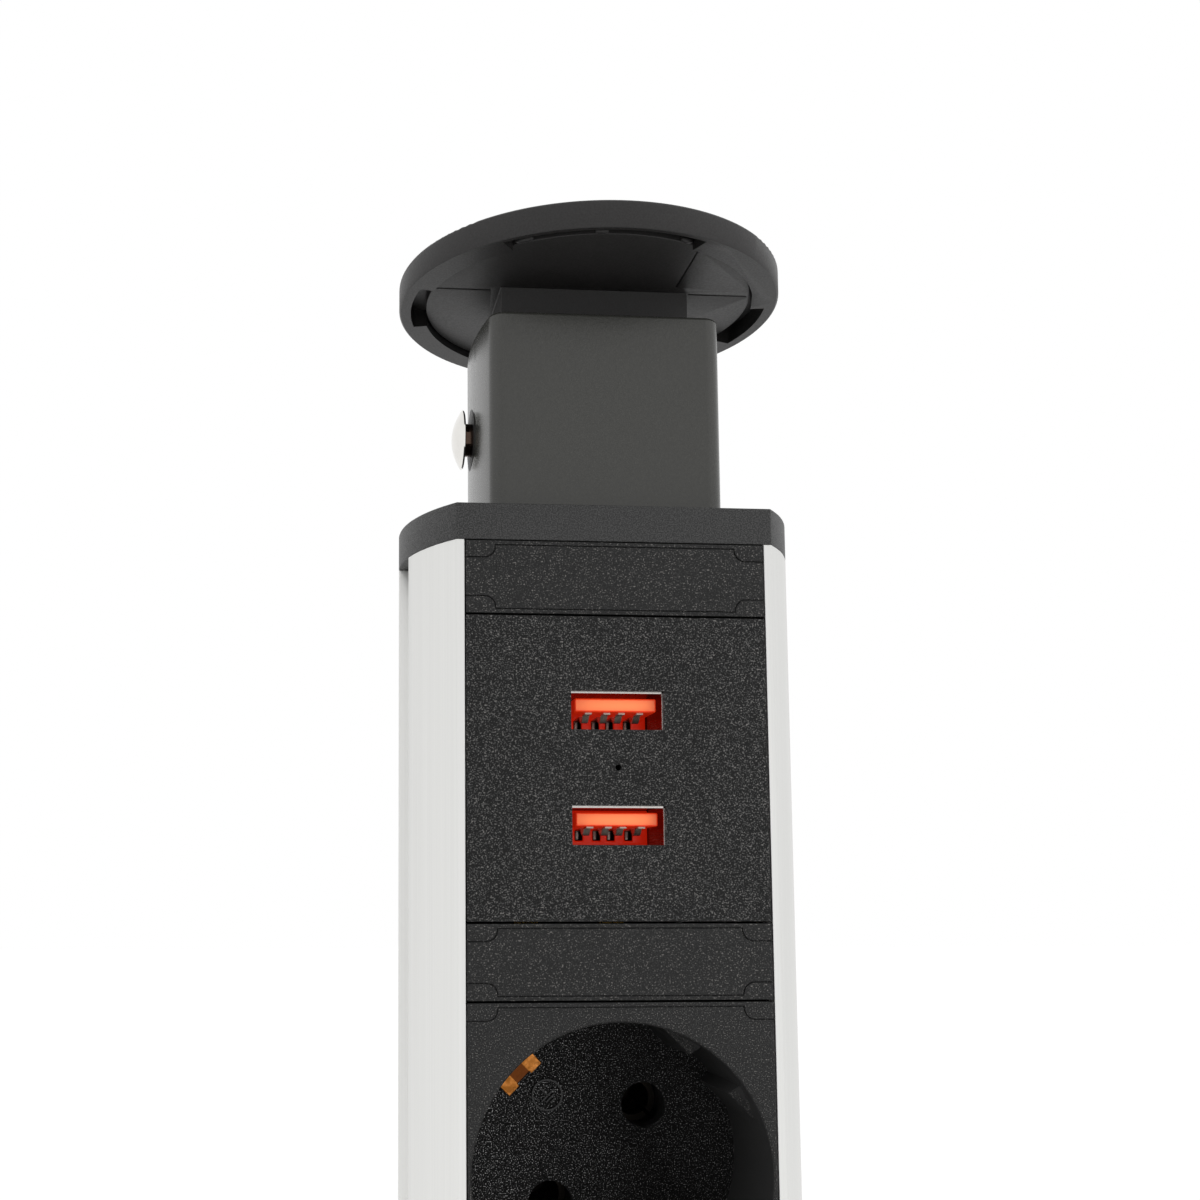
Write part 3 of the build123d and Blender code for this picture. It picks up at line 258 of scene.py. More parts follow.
def socket_abs():
    """ABS of the socket inserts: the rim like the blank pieces, the recess floor in painted shade with hard
    glints, and the walls smooth along the mould's draw and painted lighter as painted light."""
    colour, grit = colours().textured, sizes().grit
    made, tree, shader = finish("Socket ABS", colour, DULL_ABS)
    place, tint, raised = grained(tree, shader, colour, 0.7 * grit, GRIT_DEPTH, 0.5, (0.38, 0.58))
    shine, facets, tipped = glints(tree, shader, place, tint, 1.5 * grit, (0.19, 0.40), 2.0, PALE_TIP)
    spot = axes(tree, place["Object"])
    inside = remapped(tree, spot["Y"], -3.0 * MM, -2.0 * MM)
    # Painted light: the floor's glints are made strong at its left and weak towards the right, as the light
    # falls.
    painted_glint_falloff = remapped(tree, spot["X"], -16.0 * MM, 6.0 * MM, 6.5, 1.9)
    keen = maths(tree, "POWER", remapped(tree, facets, 0.5, 0.8), 3.0)
    spark = maths(tree, "MULTIPLY", keen, painted_glint_falloff)
    level = add(tree, "ShaderNodeMix", {0: inside, 2: shine, 3: spark}).outputs[0]
    front = maths(tree, "LESS_THAN", axes(tree, place["Normal"])["Y"], -0.6)
    feed(tree, raised, {"Distance": maths(tree, "MULTIPLY", front, GRIT_DEPTH)})
    # Painted shade: the recess floor is coloured darker than the rim.
    floor = blended(tree, inside, tipped, shade(colour, 0.8))
    # Painted light: the recess walls are coloured lighter than the front faces.
    shaded_and_lit_skin = blended(tree, front, shade(colour, 1.6), floor)
    wall_gloss = 0.22
    gloss = add(tree, "ShaderNodeMix", {0: front, 2: wall_gloss, 3: level}).outputs[0]
    feed(tree, shader, {"Base Color": shaded_and_lit_skin, "Specular IOR Level": gloss})
    return made


def mark_abs():
    """Polished ABS of the raised earth mark: the mould's grit stops at it."""
    colour = shade(colours().textured, 0.7)
    made, tree, shader = finish("Polished ABS", colour, {"IOR": 1.53, "Specular IOR Level": 0.4})
    grained(tree, shader, colour, 0.3 * MM, 0.01 * MM, 0.2, (0.22, 0.34))
    return made


def trim_abs():
    """Lightly eroded ABS of the cap on the column: a shade paler and finer than the front pieces."""
    colour, grit = shade(colours().textured, 1.35), sizes().grit
    made, tree, shader = finish("Lightly eroded ABS", colour, {"IOR": 1.53, "Specular IOR Level": 0.3})
    place, tint, _ = grained(tree, shader, colour, 0.8 * grit, GRIT_DEPTH, 0.25, (0.40, 0.56))
    glints(tree, shader, place, tint, 1.5 * grit, (0.32, 0.72), 1.5, "#302F2E")
    return made


def nickel_chrome():
    """Polished nickel-chrome plate: a bright mirror with a faint haze, and dark painted shade behind the
    head.
    """
    colour = linear("#E4E2DE")
    made, tree, shader = finish("Nickel-chrome plate", colour, METAL)
    place, tint, _ = grained(tree, shader, colour, 1.5 * MM, 0.0008 * MM, 0.02, (0.08, 0.16))
    # Painted shade: the stem behind the head is coloured dark brown.
    head_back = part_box("release_button")[0].x + 1.75 * MM
    stem = remapped(tree, axes(tree, place["Object"])["X"], head_back, head_back + 0.1 * MM)
    feed(tree, shader, {"Base Color": blended(tree, stem, tint, linear("#4A3C34"))})
    return made


def tinned_shell():
    """Tin-plated deep-drawn steel of the port shells: bright at the edge, with draw marks and painted shade
    inside.
    """
    colour = linear("#D2CFCB")
    made, tree, shader = finish("Tin-plated steel", colour, METAL)
    draw_marks = (1.0, 0.02, 1.0)
    place, tint, _ = grained(tree, shader, colour, 0.25 * MM, 0.003 * MM, 0.05, (0.20, 0.32), draw_marks)
    # Painted shade inside the shell, in a reddish dark as a painted reflection of the insulator.
    deep = remapped(tree, axes(tree, place["Object"])["Y"], -17.15 * MM, -16.9 * MM)
    feed(tree, shader, {"Base Color": blended(tree, deep, tint, linear("#4A3E3A"))})
    return made


def bronze_strip():
    """Phosphor bronze strip: warm copper brown, a little tarnished, with painted shade along its recessed
    middle.
    """
    colour = colours().copper
    made, tree, shader = finish("Phosphor bronze", colour, METAL)
    place, tint, _ = grained(tree, shader, colour, 0.5 * MM, 0.012 * MM, 0.25, (0.16, 0.34))
    cloud = add(tree, "ShaderNodeTexNoise", {"Vector": place["Object"], "Scale": 1 / (1.2 * MM),
                                             "Detail": 3.0}).outputs["Fac"]
    aged = blended(tree, remapped(tree, cloud, 0.35, 0.65), tint, linear("#8A5420"))
    # Distance across the strip from its middle, the same for the clips of all three sockets.
    spot = axes(tree, place["Object"])
    slant = maths(tree, "ADD", spot["X"], spot["Z"])
    across = maths(tree, "WRAP", slant, SOCKET_MIDDLE + SOCKET_PITCH / 2, SOCKET_MIDDLE - SOCKET_PITCH / 2)
    # Painted shade: a dark band along the strip's recessed middle.
    painted_rib_shade = maths(tree, "COMPARE", across, SOCKET_MIDDLE, 1.1 * math.sqrt(2) * MM)
    feed(tree, shader, {"Base Color": blended(tree, painted_rib_shade, aged, linear("#5A3014"))})
    return made


def orange_nylon():
    """Orange nylon of the ports: orange red with a faint painted glow, and painted lighter on the tongues'
    flat fronts.
    """
    # Painted light: the nylon glows by emission, though it is no lamp.
    colour, glow = colours().orange, 0.25
    made, tree, shader = finish("Orange nylon", colour, {"IOR": 1.53, "Emission Color": linear("#FF2A10"),
                                                         "Emission Strength": glow})
    place, tint, _ = grained(tree, shader, colour, 0.4 * MM, 0.006 * MM, 0.06, (0.28, 0.38))
    depth = axes(tree, place["Object"])["Y"]
    # Painted light: flat fronts near the port's mouth are paler, as where the light falls.
    flat = remapped(tree, axes(tree, place["Normal"])["Y"], -0.96, -1.0)
    near = remapped(tree, depth, -15.0 * MM, -16.0 * MM)
    pale = blended(tree, maths(tree, "MULTIPLY", flat, near), tint, linear("#FF9A60"))
    # The contact slots behind the back wall's face lie too deep for daylight.
    lit = remapped(tree, depth, SLOT_FACE, SLOT_FACE + 0.1 * MM, 1.0, 0.0)
    feed(tree, shader, {"Base Color": blended(tree, lit, linear("#0A0202"), pale),
                        "Emission Strength": maths(tree, "MULTIPLY", lit, glow)})
    return made


def circuit_board():
    """Solder-masked glass laminate: green lacquer with paler copper tracks under it."""
    lacquer = linear("#14532D")
    made, tree, shader = finish("Solder-masked laminate", lacquer, {"IOR": 1.5, "Roughness": 0.3})
    place = add(tree, "ShaderNodeTexCoord").outputs["Object"]
    laid = add(tree, "ShaderNodeMapping", {"Vector": place, "Rotation": (math.pi / 2, 0.0, 0.0)}).outputs[0]
    tracks = add(tree, "ShaderNodeTexBrick", {
        "Vector": laid, "Scale": 1.0, "Brick Width": 5.1 * MM, "Row Height": 2.54 * MM,
        "Mortar Size": 0.3 * MM, "Color1": lacquer, "Color2": linear("#17602F"),
        "Mortar": linear("#3E8A48")}).outputs
    raised = add(tree, "ShaderNodeBump", {"Strength": 0.6, "Distance": GRIT_DEPTH, "Height": tracks["Fac"]})
    feed(tree, shader, {"Base Color": tracks["Color"], "Normal": raised.outputs[0]})
    return made


def winding_tape():
    """Polyester tape round the transformer: amber yellow, in slow bands about 25 mm wide."""
    made, tree, shader = finish("Polyester tape", linear("#D8A62A"), {"IOR": 1.57, "Roughness": 0.25})
    place = add(tree, "ShaderNodeTexCoord").outputs["Object"]
    # A wave texture repeats every 2 pi / (20 * scale) metres, so this scale gives bands of 25 mm.
    turns = add(tree, "ShaderNodeTexWave", {"Vector": place, "Scale": 12.5, "Distortion": 0.3},
                bands_direction="Z", wave_profile="SAW").outputs["Fac"]
    raised = add(tree, "ShaderNodeBump", {"Strength": 0.5, "Distance": 0.05 * MM, "Height": turns})
    feed(tree, shader, {"Base Color": blended(tree, turns, linear("#D8A62A"), linear("#B9851C")),
                        "Normal": raised.outputs[0]})
    return made


def plain_finish(name, tone, values, grain, depth, spread, rough, stretch=(1.0, 1.0, 1.0)):
    """A finish of grain alone, with grain and depth in mm. Its tone is a hex value or a colour setting."""
    colour = linear(tone) if tone.startswith("#") else getattr(colours(), tone)
    made, tree, shader = finish(name, colour, values)
    grained(tree, shader, colour, grain * MM, depth * MM, spread, rough, stretch)
    return made


PLAIN_FINISHES = {
    # Satin moulded ABS, with a finer grit and a soft sheen.
    "neck": ("Satin ABS", "smooth", ABS, 0.22, 0.012, 0.18, (0.20, 0.28)),
    # Smooth moulded ABS of the lid, nearly plain and duller than the neck.
    "dark_cover": ("Moulded lid ABS", "lid", DULL_ABS, 0.25, 0.008, 0.15, (0.38, 0.50)),
    # Glass-filled nylon of the collar, nut and foot: matt, with a coarse, soft grain.
    "collar_grey": ("Glass-filled nylon", "#2B2B2C", ABS, 0.5, 0.03, 0.22, (0.45, 0.62)),
    # Extruded aluminium. Real die lines are about 0.05 mm apart, drawn at 0.25 mm so that they show.
    "silver_profile": ("Anodised aluminium", "aluminium", METAL, 0.25, 0.0015, 0.010, (0.50, 0.58),
                       (1.0, 1.0, 0.004)),
    # Zinc-plated steel: grey-white, with a slight mottle of the plating bath.
    "bright_steel": ("Zinc-plated steel", "#C4C6C8", METAL, 0.8, 0.004, 0.10, (0.26, 0.42)),
    # Tinned spring strip of the port contacts: grey, with a soft shine.
    "contact_tin": ("Tinned strip", "#C8C6BA", {"Metallic": 0.3}, 0.3, 0.003, 0.12, (0.22, 0.36),
                    (1.0, 0.1, 1.0)),
    # Drawn spring steel: dark, with fine marks of the die.
    "spring_steel": ("Drawn spring steel", "#8E8C88", METAL, 0.1, 0.002, 0.12, (0.25, 0.40)),
    # Stamped brass: yellow, with rolling marks along the strip.
    "contact_brass": ("Stamped brass", "#C8A050", METAL, 0.3, 0.004, 0.10, (0.24, 0.38), (1.0, 1.0, 0.05)),
    # Brass of the pin sleeves, painted nearly black as the shade deep in the pin holes.
    "sleeve": ("Greased brass", "#1E1A14", {"Metallic": 0.6, "Specular IOR Level": 0.2}, 0.3, 0.004, 0.3,
               (0.30, 0.50), (1.0, 0.1, 1.0)),
    # Natural nylon of the hidden insulators: off-white and waxy.
    "white_insulator": ("Natural nylon", "#D9D6CC", ABS, 0.6, 0.015, 0.05, (0.40, 0.55)),
    # Shrunk vinyl sleeve of the capacitors: dark blue, glossy, faintly wrinkled.
    "can_black": ("Shrunk vinyl", "#1B2236", ABS, 1.2, 0.02, 0.08, (0.18, 0.28)),
    # Tinted epoxy of the light: clear green, cast smooth.
    "led_green": ("Tinted epoxy", "#7FD68A", {"IOR": 1.55, "Transmission Weight": 0.6}, 1.0, 0.004, 0.05,
                  (0.08, 0.14)),
    # Pressed wool felt of the wiper: black, dull and fibrous.
    "seal_felt": ("Pressed felt", "#1C1B1B", {"Sheen Weight": 0.4, "Sheen Roughness": 0.6}, 0.25, 0.12, 0.5,
                  (0.85, 0.98), (1.0, 1.0, 0.4)),
    # Moulded nitrile rubber: black and dull, with dusty fine grain.
    "washer_rubber": ("Nitrile rubber", "#202020", {"IOR": 1.52}, 0.35, 0.03, 0.25, (0.62, 0.80)),
}
FINISHES = {
    "black_body": textured_abs, "plate": plate_abs, "socket": socket_abs, "trim": trim_abs, "mark": mark_abs,
    "button_chrome": nickel_chrome, "port_shell": tinned_shell, "earth_copper": bronze_strip,
    "orange_insulator": orange_nylon, "board_green": circuit_board, "coil_yellow": winding_tape,
}
# Nodes whose finish isn't the one of their slot.
SPECIAL = {"neck_sleeve": "neck", "usb_plate": "plate", "top_trim": "trim", "foot_cap": "collar_grey",
           "cord_gland": "collar_grey"}
SPECIAL.update({f"usb_shell_{name}": "port_shell" for name in PORTS})
SPECIAL.update({f"socket_insert_{index}": "socket" for index in SOCKETS})
SPECIAL.update({f"pin_contacts_{index}": "sleeve" for index in SOCKETS})
MADE = {}


def material(key):
    """The finish of this name, made once."""
    if key not in MADE:
        MADE[key] = plain_finish(*PLAIN_FINISHES[key]) if key in PLAIN_FINISHES else FINISHES[key]()
    return MADE[key]


def finish_of(node):
    """The finish that a CAD node's pieces wear."""
    return material(SPECIAL.get(node, SLOT_OF[node]))


# Meshes

def placed(name, data):
    """A new object in the scene, at the origin."""
    made = bpy.data.objects.new(name, data)
    bpy.context.scene.collection.objects.link(made)
    return made


def final_mesh(piece):
    """An object's mesh with its modifiers applied."""
    graph = bpy.context.evaluated_depsgraph_get()
    return bpy.data.meshes.new_from_object(piece.evaluated_get(graph))


def smooth(mesh):
    """Smooths a mesh where it isn't creased."""
    mesh.shade_smooth()
    mesh.set_sharp_from_angle(angle=SMOOTH_ANGLE)


def merged(node):
    """A CAD node's mesh with its loose triangles joined and its flat faces made whole."""
    work = bmesh.new()
    work.from_mesh(frame["nodes"][node].data)
    bmesh.ops.remove_doubles(work, verts=work.verts, dist=0.0005 * MM)
    bmesh.ops.dissolve_limit(work, angle_limit=math.radians(0.3), verts=work.verts, edges=work.edges)
    return work


def clothe(mesh, node):
    """Gives a mesh the finish of a CAD node, and no other."""
    mesh.materials.clear()
    mesh.materials.append(finish_of(node))


def put_on(name, work, node, replaced=True):
    """Makes a mesh into a finished piece that wears the node's finish and moves with its body."""
    mesh = bpy.data.meshes.new(name)
    work.to_mesh(mesh)
    work.free()
    return settle(name, mesh, node, replaced)


def settle(name, mesh, node, replaced=True):
    """Puts a mesh into the scene as a piece of the node's body, in place of the node unless told not to."""
    piece = placed(name, mesh)
    clothe(mesh, node)
    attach(piece, BODY_OF[node])
    if replaced:
        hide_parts(node)
    return piece


def apply_modifiers(piece):
    """Turns a piece's live modifiers into plain mesh and smooths it."""
    mesh = final_mesh(piece)
    piece.modifiers.clear()
    piece.data = mesh
    smooth(mesh)


def rounded(piece, edge, segments=2, chosen=False):
    """Rounds a piece's creased edges by this width, or only the edges that choose() marked."""
    cut = piece.modifiers.new("Rounded edges", "BEVEL")
    cut.width = edge
    cut.segments = segments
    cut.limit_method = "WEIGHT" if chosen else "ANGLE"
    cut.angle_limit = CREASE_ANGLE
    cut.use_clamp_overlap = False
    apply_modifiers(piece)


def choose(work, wanted):
    """Marks a mesh's creased edges whose middle is wanted, for rounded()."""
    layer = work.edges.layers.float.new("bevel_weight_edge")
    for edge in work.edges:
        creased = len(edge.link_faces) == 2 and edge.calc_face_angle() > CREASE_ANGLE
        edge[layer] = float(creased and wanted((edge.verts[0].co + edge.verts[1].co) / 2))


def dressed(node, edge=None, segments=2):
    """Makes a finished copy of a CAD node, with its edges rounded unless the node has them round already."""
    piece = put_on(node + "_dressed", merged(node), node)
    if edge is None:
        apply_modifiers(piece)
    else:
        rounded(piece, edge, segments)


def painted(*nodes):
    """Gives CAD nodes whose shapes are right their finish."""
    for node in nodes:
        clothe(frame["nodes"][node].data, node)


def solids(node):
    """The lowest and highest corner of each separate solid in a CAD node, in the order of their places."""
    work = merged(node)
    left, boxes = set(work.verts), []
    while left:
        reached = [left.pop()]
        found = list(reached)
        while reached:
            for edge in reached.pop().link_edges:
                for vert in edge.verts:
                    if vert in left:
                        left.discard(vert)
                        reached.append(vert)
                        found.append(vert)
        corners = [vert.co for vert in found]
        boxes.append((Vector([min(c[i] for c in corners) for i in range(3)]),
                      Vector([max(c[i] for c in corners) for i in range(3)])))
    work.free()
    return sorted(boxes, key=lambda box: tuple(box[0]))


def brick(work, low, high):
    """Adds a box between two corners to a mesh in the making."""
    made = bmesh.ops.create_cube(work, size=1.0)["verts"]
    for vert in made:
        vert.co = Vector([low[i] + (vert.co[i] + 0.5) * (high[i] - low[i]) for i in range(3)])


def turned(work, outline, centre, axis, steps):
    """Adds a closed turned shape: outline gives (distance along the axis, radius) from pole to pole."""
    rings = []
    side = Vector((0, 1, 0)) if abs(axis.y) < 0.9 else Vector((0, 0, 1))
    first = axis.cross(side).normalized()
    second = axis.cross(first).normalized()
    for along, radius in outline:
        if radius == 0:
            rings.append([work.verts.new(centre + axis * along)])
            continue
        angles = [2 * math.pi * k / steps for k in range(steps)]
        middle = centre + axis * along
        rings.append([work.verts.new(middle + radius * (first * math.cos(a) + second * math.sin(a)))
                      for a in angles])
    for a, b in zip(rings, rings[1:]):
        for k in range(steps):
            corners = [a[k % len(a)], a[(k + 1) % len(a)], b[(k + 1) % len(b)], b[k % len(b)]]
            work.faces.new(list(dict.fromkeys(corners)))
    bmesh.ops.recalc_face_normals(work, faces=work.faces)


def ridge(work, points, width, rise, closed=False):
    """Adds a raised line on a floor that faces -Y: points are (x, y, z) on the floor."""
    count = len(points)
    rings = []
    for k, point in enumerate(points):
        before = points[(k - 1) % count] if closed or k > 0 else point
        after = points[(k + 1) % count] if closed or k < count - 1 else point
        run = (Vector(after) - Vector(before)).normalized()
        side = run.cross(Vector((0, 1, 0))).normalized()
        base = Vector(point)
        lift = Vector((0, -rise, 0))
        foot, crest = side * width / 2, side * width * 0.3
        rings.append([work.verts.new(corner) for corner in (base + foot - lift, base + crest + lift,
                                                            base - crest + lift, base - foot - lift)])
    pairs = list(zip(rings, rings[1:])) + ([(rings[-1], rings[0])] if closed else [])
    for a, b in pairs:
        for k in range(4):
            work.faces.new((a[k], a[(k + 1) % 4], b[(k + 1) % 4], b[k]))
    if not closed:
        work.faces.new(rings[0])
        work.faces.new(rings[-1][::-1])
    bmesh.ops.recalc_face_normals(work, faces=work.faces)


def cut_away(piece, work):
    """Cuts the mesh in the making out of a piece."""
    mesh = bpy.data.meshes.new("cutter")
    work.to_mesh(mesh)
    work.free()
    cutter = placed("cutter", mesh)
    cut = piece.modifiers.new("Cut", "BOOLEAN")
    cut.operation = "DIFFERENCE"
    cut.solver = "EXACT"
    cut.object = cutter
    mesh = final_mesh(piece)
    piece.modifiers.clear()
    piece.data = mesh
    bpy.data.objects.remove(cutter)


# Geometry trees

def geometry_tree(name, **inputs):
    """An empty geometry tree with named inputs, and its input sockets."""
    tree = bpy.data.node_groups.new(name, "GeometryNodeTree")
    tree.interface.new_socket("Geometry", in_out="OUTPUT", socket_type="NodeSocketGeometry")
    tree.interface.new_socket("Geometry", in_out="INPUT", socket_type="NodeSocketGeometry")
    for kind, labels in inputs.items():
        for label in labels:
            tree.interface.new_socket(label, in_out="INPUT", socket_type="NodeSocket" + kind)
    return tree, add(tree, "NodeGroupInput").outputs


def close_tree(tree, geometry, given):
    """Ends a geometry tree in Realize Instances and Set Material."""
    real = add(tree, "GeometryNodeRealizeInstances", {0: geometry}).outputs[0]
    clad = add(tree, "GeometryNodeSetMaterial", {"Geometry": real, "Material": given["Material"]}).outputs[0]
    add(tree, "NodeGroupOutput", {0: clad})
    return tree


def joined(tree, *parts):
    """Several geometries as one."""
    made = add(tree, "GeometryNodeJoinGeometry")
    for part in parts:
        tree.links.new(part, made.inputs[0])
    return made.outputs[0]


def vector(tree, **parts):
    """A vector of these parts: X, Y and Z."""
    return add(tree, "ShaderNodeCombineXYZ", parts).outputs[0]


def moved(tree, geometry, place, **more):
    """A geometry moved to a place."""
    return add(tree, "GeometryNodeTransform", {0: geometry, "Translation": place, **more}).outputs[0]


def cone(tree, sides, top, bottom, depth):
    """A cone that stands on the origin, with its radii at the top and the bottom."""
    return add(tree, "GeometryNodeMeshCone", {"Vertices": sides, "Radius Top": top, "Radius Bottom": bottom,
                                              "Depth": depth}).outputs[0]


def cube(tree, size):
    """A box round the origin."""
    return add(tree, "GeometryNodeMeshCube", {"Size": size}).outputs[0]


def swept(tree, line, profile):
    """A solid with this profile all along a line."""
    return add(tree, "GeometryNodeCurveToMesh", {"Curve": line, "Profile Curve": profile,
                                                 "Fill Caps": True}).outputs[0]


def on_points(tree, given, shape, **more):
    """A copy of the shape on each point of the tree's mesh."""
    spots = add(tree, "GeometryNodeMeshToPoints", {0: given["Geometry"]}).outputs[0]
    return add(tree, "GeometryNodeInstanceOnPoints", {"Points": spots, "Instance": shape, **more}).outputs[0]


def grown(name, tree, node, values, points=(), replaced=True):
    """Runs a geometry tree on points and keeps its result as a plain piece."""
    seed = bpy.data.meshes.new(name)
    seed.from_pydata([tuple(p) for p in points], [], [])
    maker = placed(name + "_maker", seed)
    live = maker.modifiers.new("Tree", "NODES")
    live.node_group = tree
    values = dict(values, Material=finish_of(node))
    for item in tree.interface.items_tree:
        if item.in_out == "INPUT" and item.name in values:
            live[item.identifier] = values[item.name]
    mesh = final_mesh(maker)
    bpy.data.objects.remove(maker)
    mesh.name = name
    smooth(mesh)
    return settle(name, mesh, node, replaced)


def screw_tree():
    """Pan head screws with a cross recess, one on each point."""
    tree, given = geometry_tree("Pan head screws", Float=(
        "Head Radius", "Head Height", "Shank Radius", "Shank Length", "Recess Width"),
        Rotation=("Turn",), Material=("Material",))
    radius, height, slit = given["Head Radius"], given["Head Height"], given["Recess Width"]
    half = maths(tree, "MULTIPLY", height, 0.5)
    crown_radius = maths(tree, "MULTIPLY", radius, 0.72)
    top = vector(tree, Z=maths(tree, "MULTIPLY", height, -1.0))
    middle = vector(tree, Z=maths(tree, "MULTIPLY", height, -0.5))
    crown = moved(tree, cone(tree, 32, radius, crown_radius, half), top)
    band = moved(tree, cone(tree, 32, radius, radius, half), middle)
    shank = cone(tree, 20, given["Shank Radius"], given["Shank Radius"], given["Shank Length"])
    span = maths(tree, "MULTIPLY", radius, 1.3)
    bars = joined(tree, cube(tree, vector(tree, X=span, Y=slit, Z=height)),
                  cube(tree, vector(tree, X=slit, Y=span, Z=height)))
    head = add(tree, "GeometryNodeMeshBoolean", operation="UNION", solver="EXACT")
    for part in (crown, band):
        tree.links.new(part, head.inputs[1])
    carved = add(tree, "GeometryNodeMeshBoolean", {0: head.outputs[0], 1: moved(tree, bars, top)},
                 operation="DIFFERENCE", solver="EXACT").outputs[0]
    placed_screws = on_points(tree, given, joined(tree, carved, shank), Rotation=given["Turn"])
    return close_tree(tree, placed_screws, given)


def coil_tree():
    """A wire or ridge that climbs round an axis: a spring or a thread."""
    tree, given = geometry_tree("Coil", Float=("Radius", "Turns", "Height", "Wire Radius"),
                                Int=("Wire Sides", "Steps"), Vector=("Start",), Rotation=("Turn",),
                                Material=("Material",))
    line = add(tree, "GeometryNodeCurveSpiral", {
        "Resolution": given["Steps"], "Rotations": given["Turns"], "Start Radius": given["Radius"],
        "End Radius": given["Radius"], "Height": given["Height"]}).outputs[0]
    wire = add(tree, "GeometryNodeCurvePrimitiveCircle", {"Resolution": given["Wire Sides"],
                                                          "Radius": given["Wire Radius"]}).outputs[0]
    coil = moved(tree, swept(tree, line, wire), given["Start"], Rotation=given["Turn"])
    return close_tree(tree, coil, given)


def contact_tree():
    """Formed spring contacts side by side under a port's tongue: a bowed nose and a tail in the wall."""
    tree, given = geometry_tree("Port contacts", Float=("Width", "Thickness", "Length", "Drop"),
                                Material=("Material",))
    length, width, thickness = given["Length"], given["Width"], given["Thickness"]
    # The bow starts, dips and ends at these shares of the length.
    start, dip, end = [vector(tree, Y=maths(tree, "MULTIPLY", length, share)) for share in (0.2, 0.34, 0.48)]
    tree.links.new(maths(tree, "MULTIPLY", given["Drop"], -1.0), dip.node.inputs["Z"])
    bow = add(tree, "GeometryNodeCurveQuadraticBezier", {"Resolution": 12, "Start": start, "Middle": dip,
                                                         "End": end}).outputs[0]
    flat = add(tree, "GeometryNodeCurvePrimitiveLine", {"Start": (0.0, 0.0, 0.0), "End": start}).outputs[0]
    root = add(tree, "GeometryNodeCurvePrimitiveLine", {"Start": end,
                                                        "End": vector(tree, Y=length)}).outputs[0]
    strip = add(tree, "GeometryNodeCurvePrimitiveQuadrilateral", {"Width": width,
                                                                  "Height": thickness}).outputs[0]
    slim = maths(tree, "MULTIPLY", width, 0.35)
    tail = moved(tree, cube(tree, vector(tree, X=slim, Y=thickness, Z=1.1 * MM)),
                 vector(tree, X=-0.25 * MM, Y=maths(tree, "SUBTRACT", length, 1.3 * MM), Z=-0.75 * MM))
    whole = joined(tree, swept(tree, joined(tree, bow, flat, root), strip), tail)
    return close_tree(tree, on_points(tree, given, whole), given)


# Operators

class Piece(bpy.types.Operator):
    """Shared by the operators that dress one group of pieces."""
    bl_options = {"REGISTER"}

    def execute(self, context):
        self.make()
        return {"FINISHED"}


class TOWER_OT_lid(Piece):
    """Dresses the lid: the cover with its rim and the plate under it with its seams and hooks."""
    bl_idname = "tower.lid"
    bl_label = "Lid"
    # Each seam in the plate, in mm: left, right, front and back.
    SEAMS = ((11.6, 11.6, -19.8, -8.4), (14.0, 22.6, -6.0, -6.0), (-22.9, -15.2, -5.3, -5.3))
    # Each hook's angle round the lid, and half its length in mm.
    HOOKS = ((-121.0, 1.3), (-96.0, 0.9), (-67.0, 0.9))

    def make(self):
        dressed("lid_cover")
        plate = put_on("lid_base_dressed", merged("lid_base"), "lid_base")
        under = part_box("lid_cover")[0].z + 0.9 * MM
        seam = sizes().seam
        seams = bmesh.new()
        for x0, x1, y0, y1 in self.SEAMS:
            brick(seams, (x0 * MM - seam / 2, y0 * MM - seam / 2, under - seam),
                  (x1 * MM + seam / 2, y1 * MM + seam / 2, under + seam))
        cut_away(plate, seams)
        rounded(plate, LIGHT_EDGE)
        hooks = bmesh.new()
        tip_r, body_r = 0.25 * MM, 0.45 * MM
        for angle, half in self.HOOKS:
            out = Vector((math.cos(math.radians(angle)), math.sin(math.radians(angle)), 0))
            centre = out * 24.1 * MM + Vector((0, 0, under + body_r))
            bar = half * MM
            turned(hooks, ((-bar, 0), (-bar, tip_r), (-bar * 0.6, body_r), (bar * 0.6, body_r), (bar, tip_r),
                           (bar, 0)), centre, out.cross(Vector((0, 0, 1))), 12)
        piece = put_on("lid_hooks", hooks, "lid_base", replaced=False)
        piece.data.shade_smooth()


class TOWER_OT_neck(Piece):
    """Dresses the neck and the guide of its button."""
    bl_idname = "tower.neck"
    bl_label = "Neck"

    def make(self):
        dressed("neck_sleeve")
        painted("button_bush", "spring_cap")


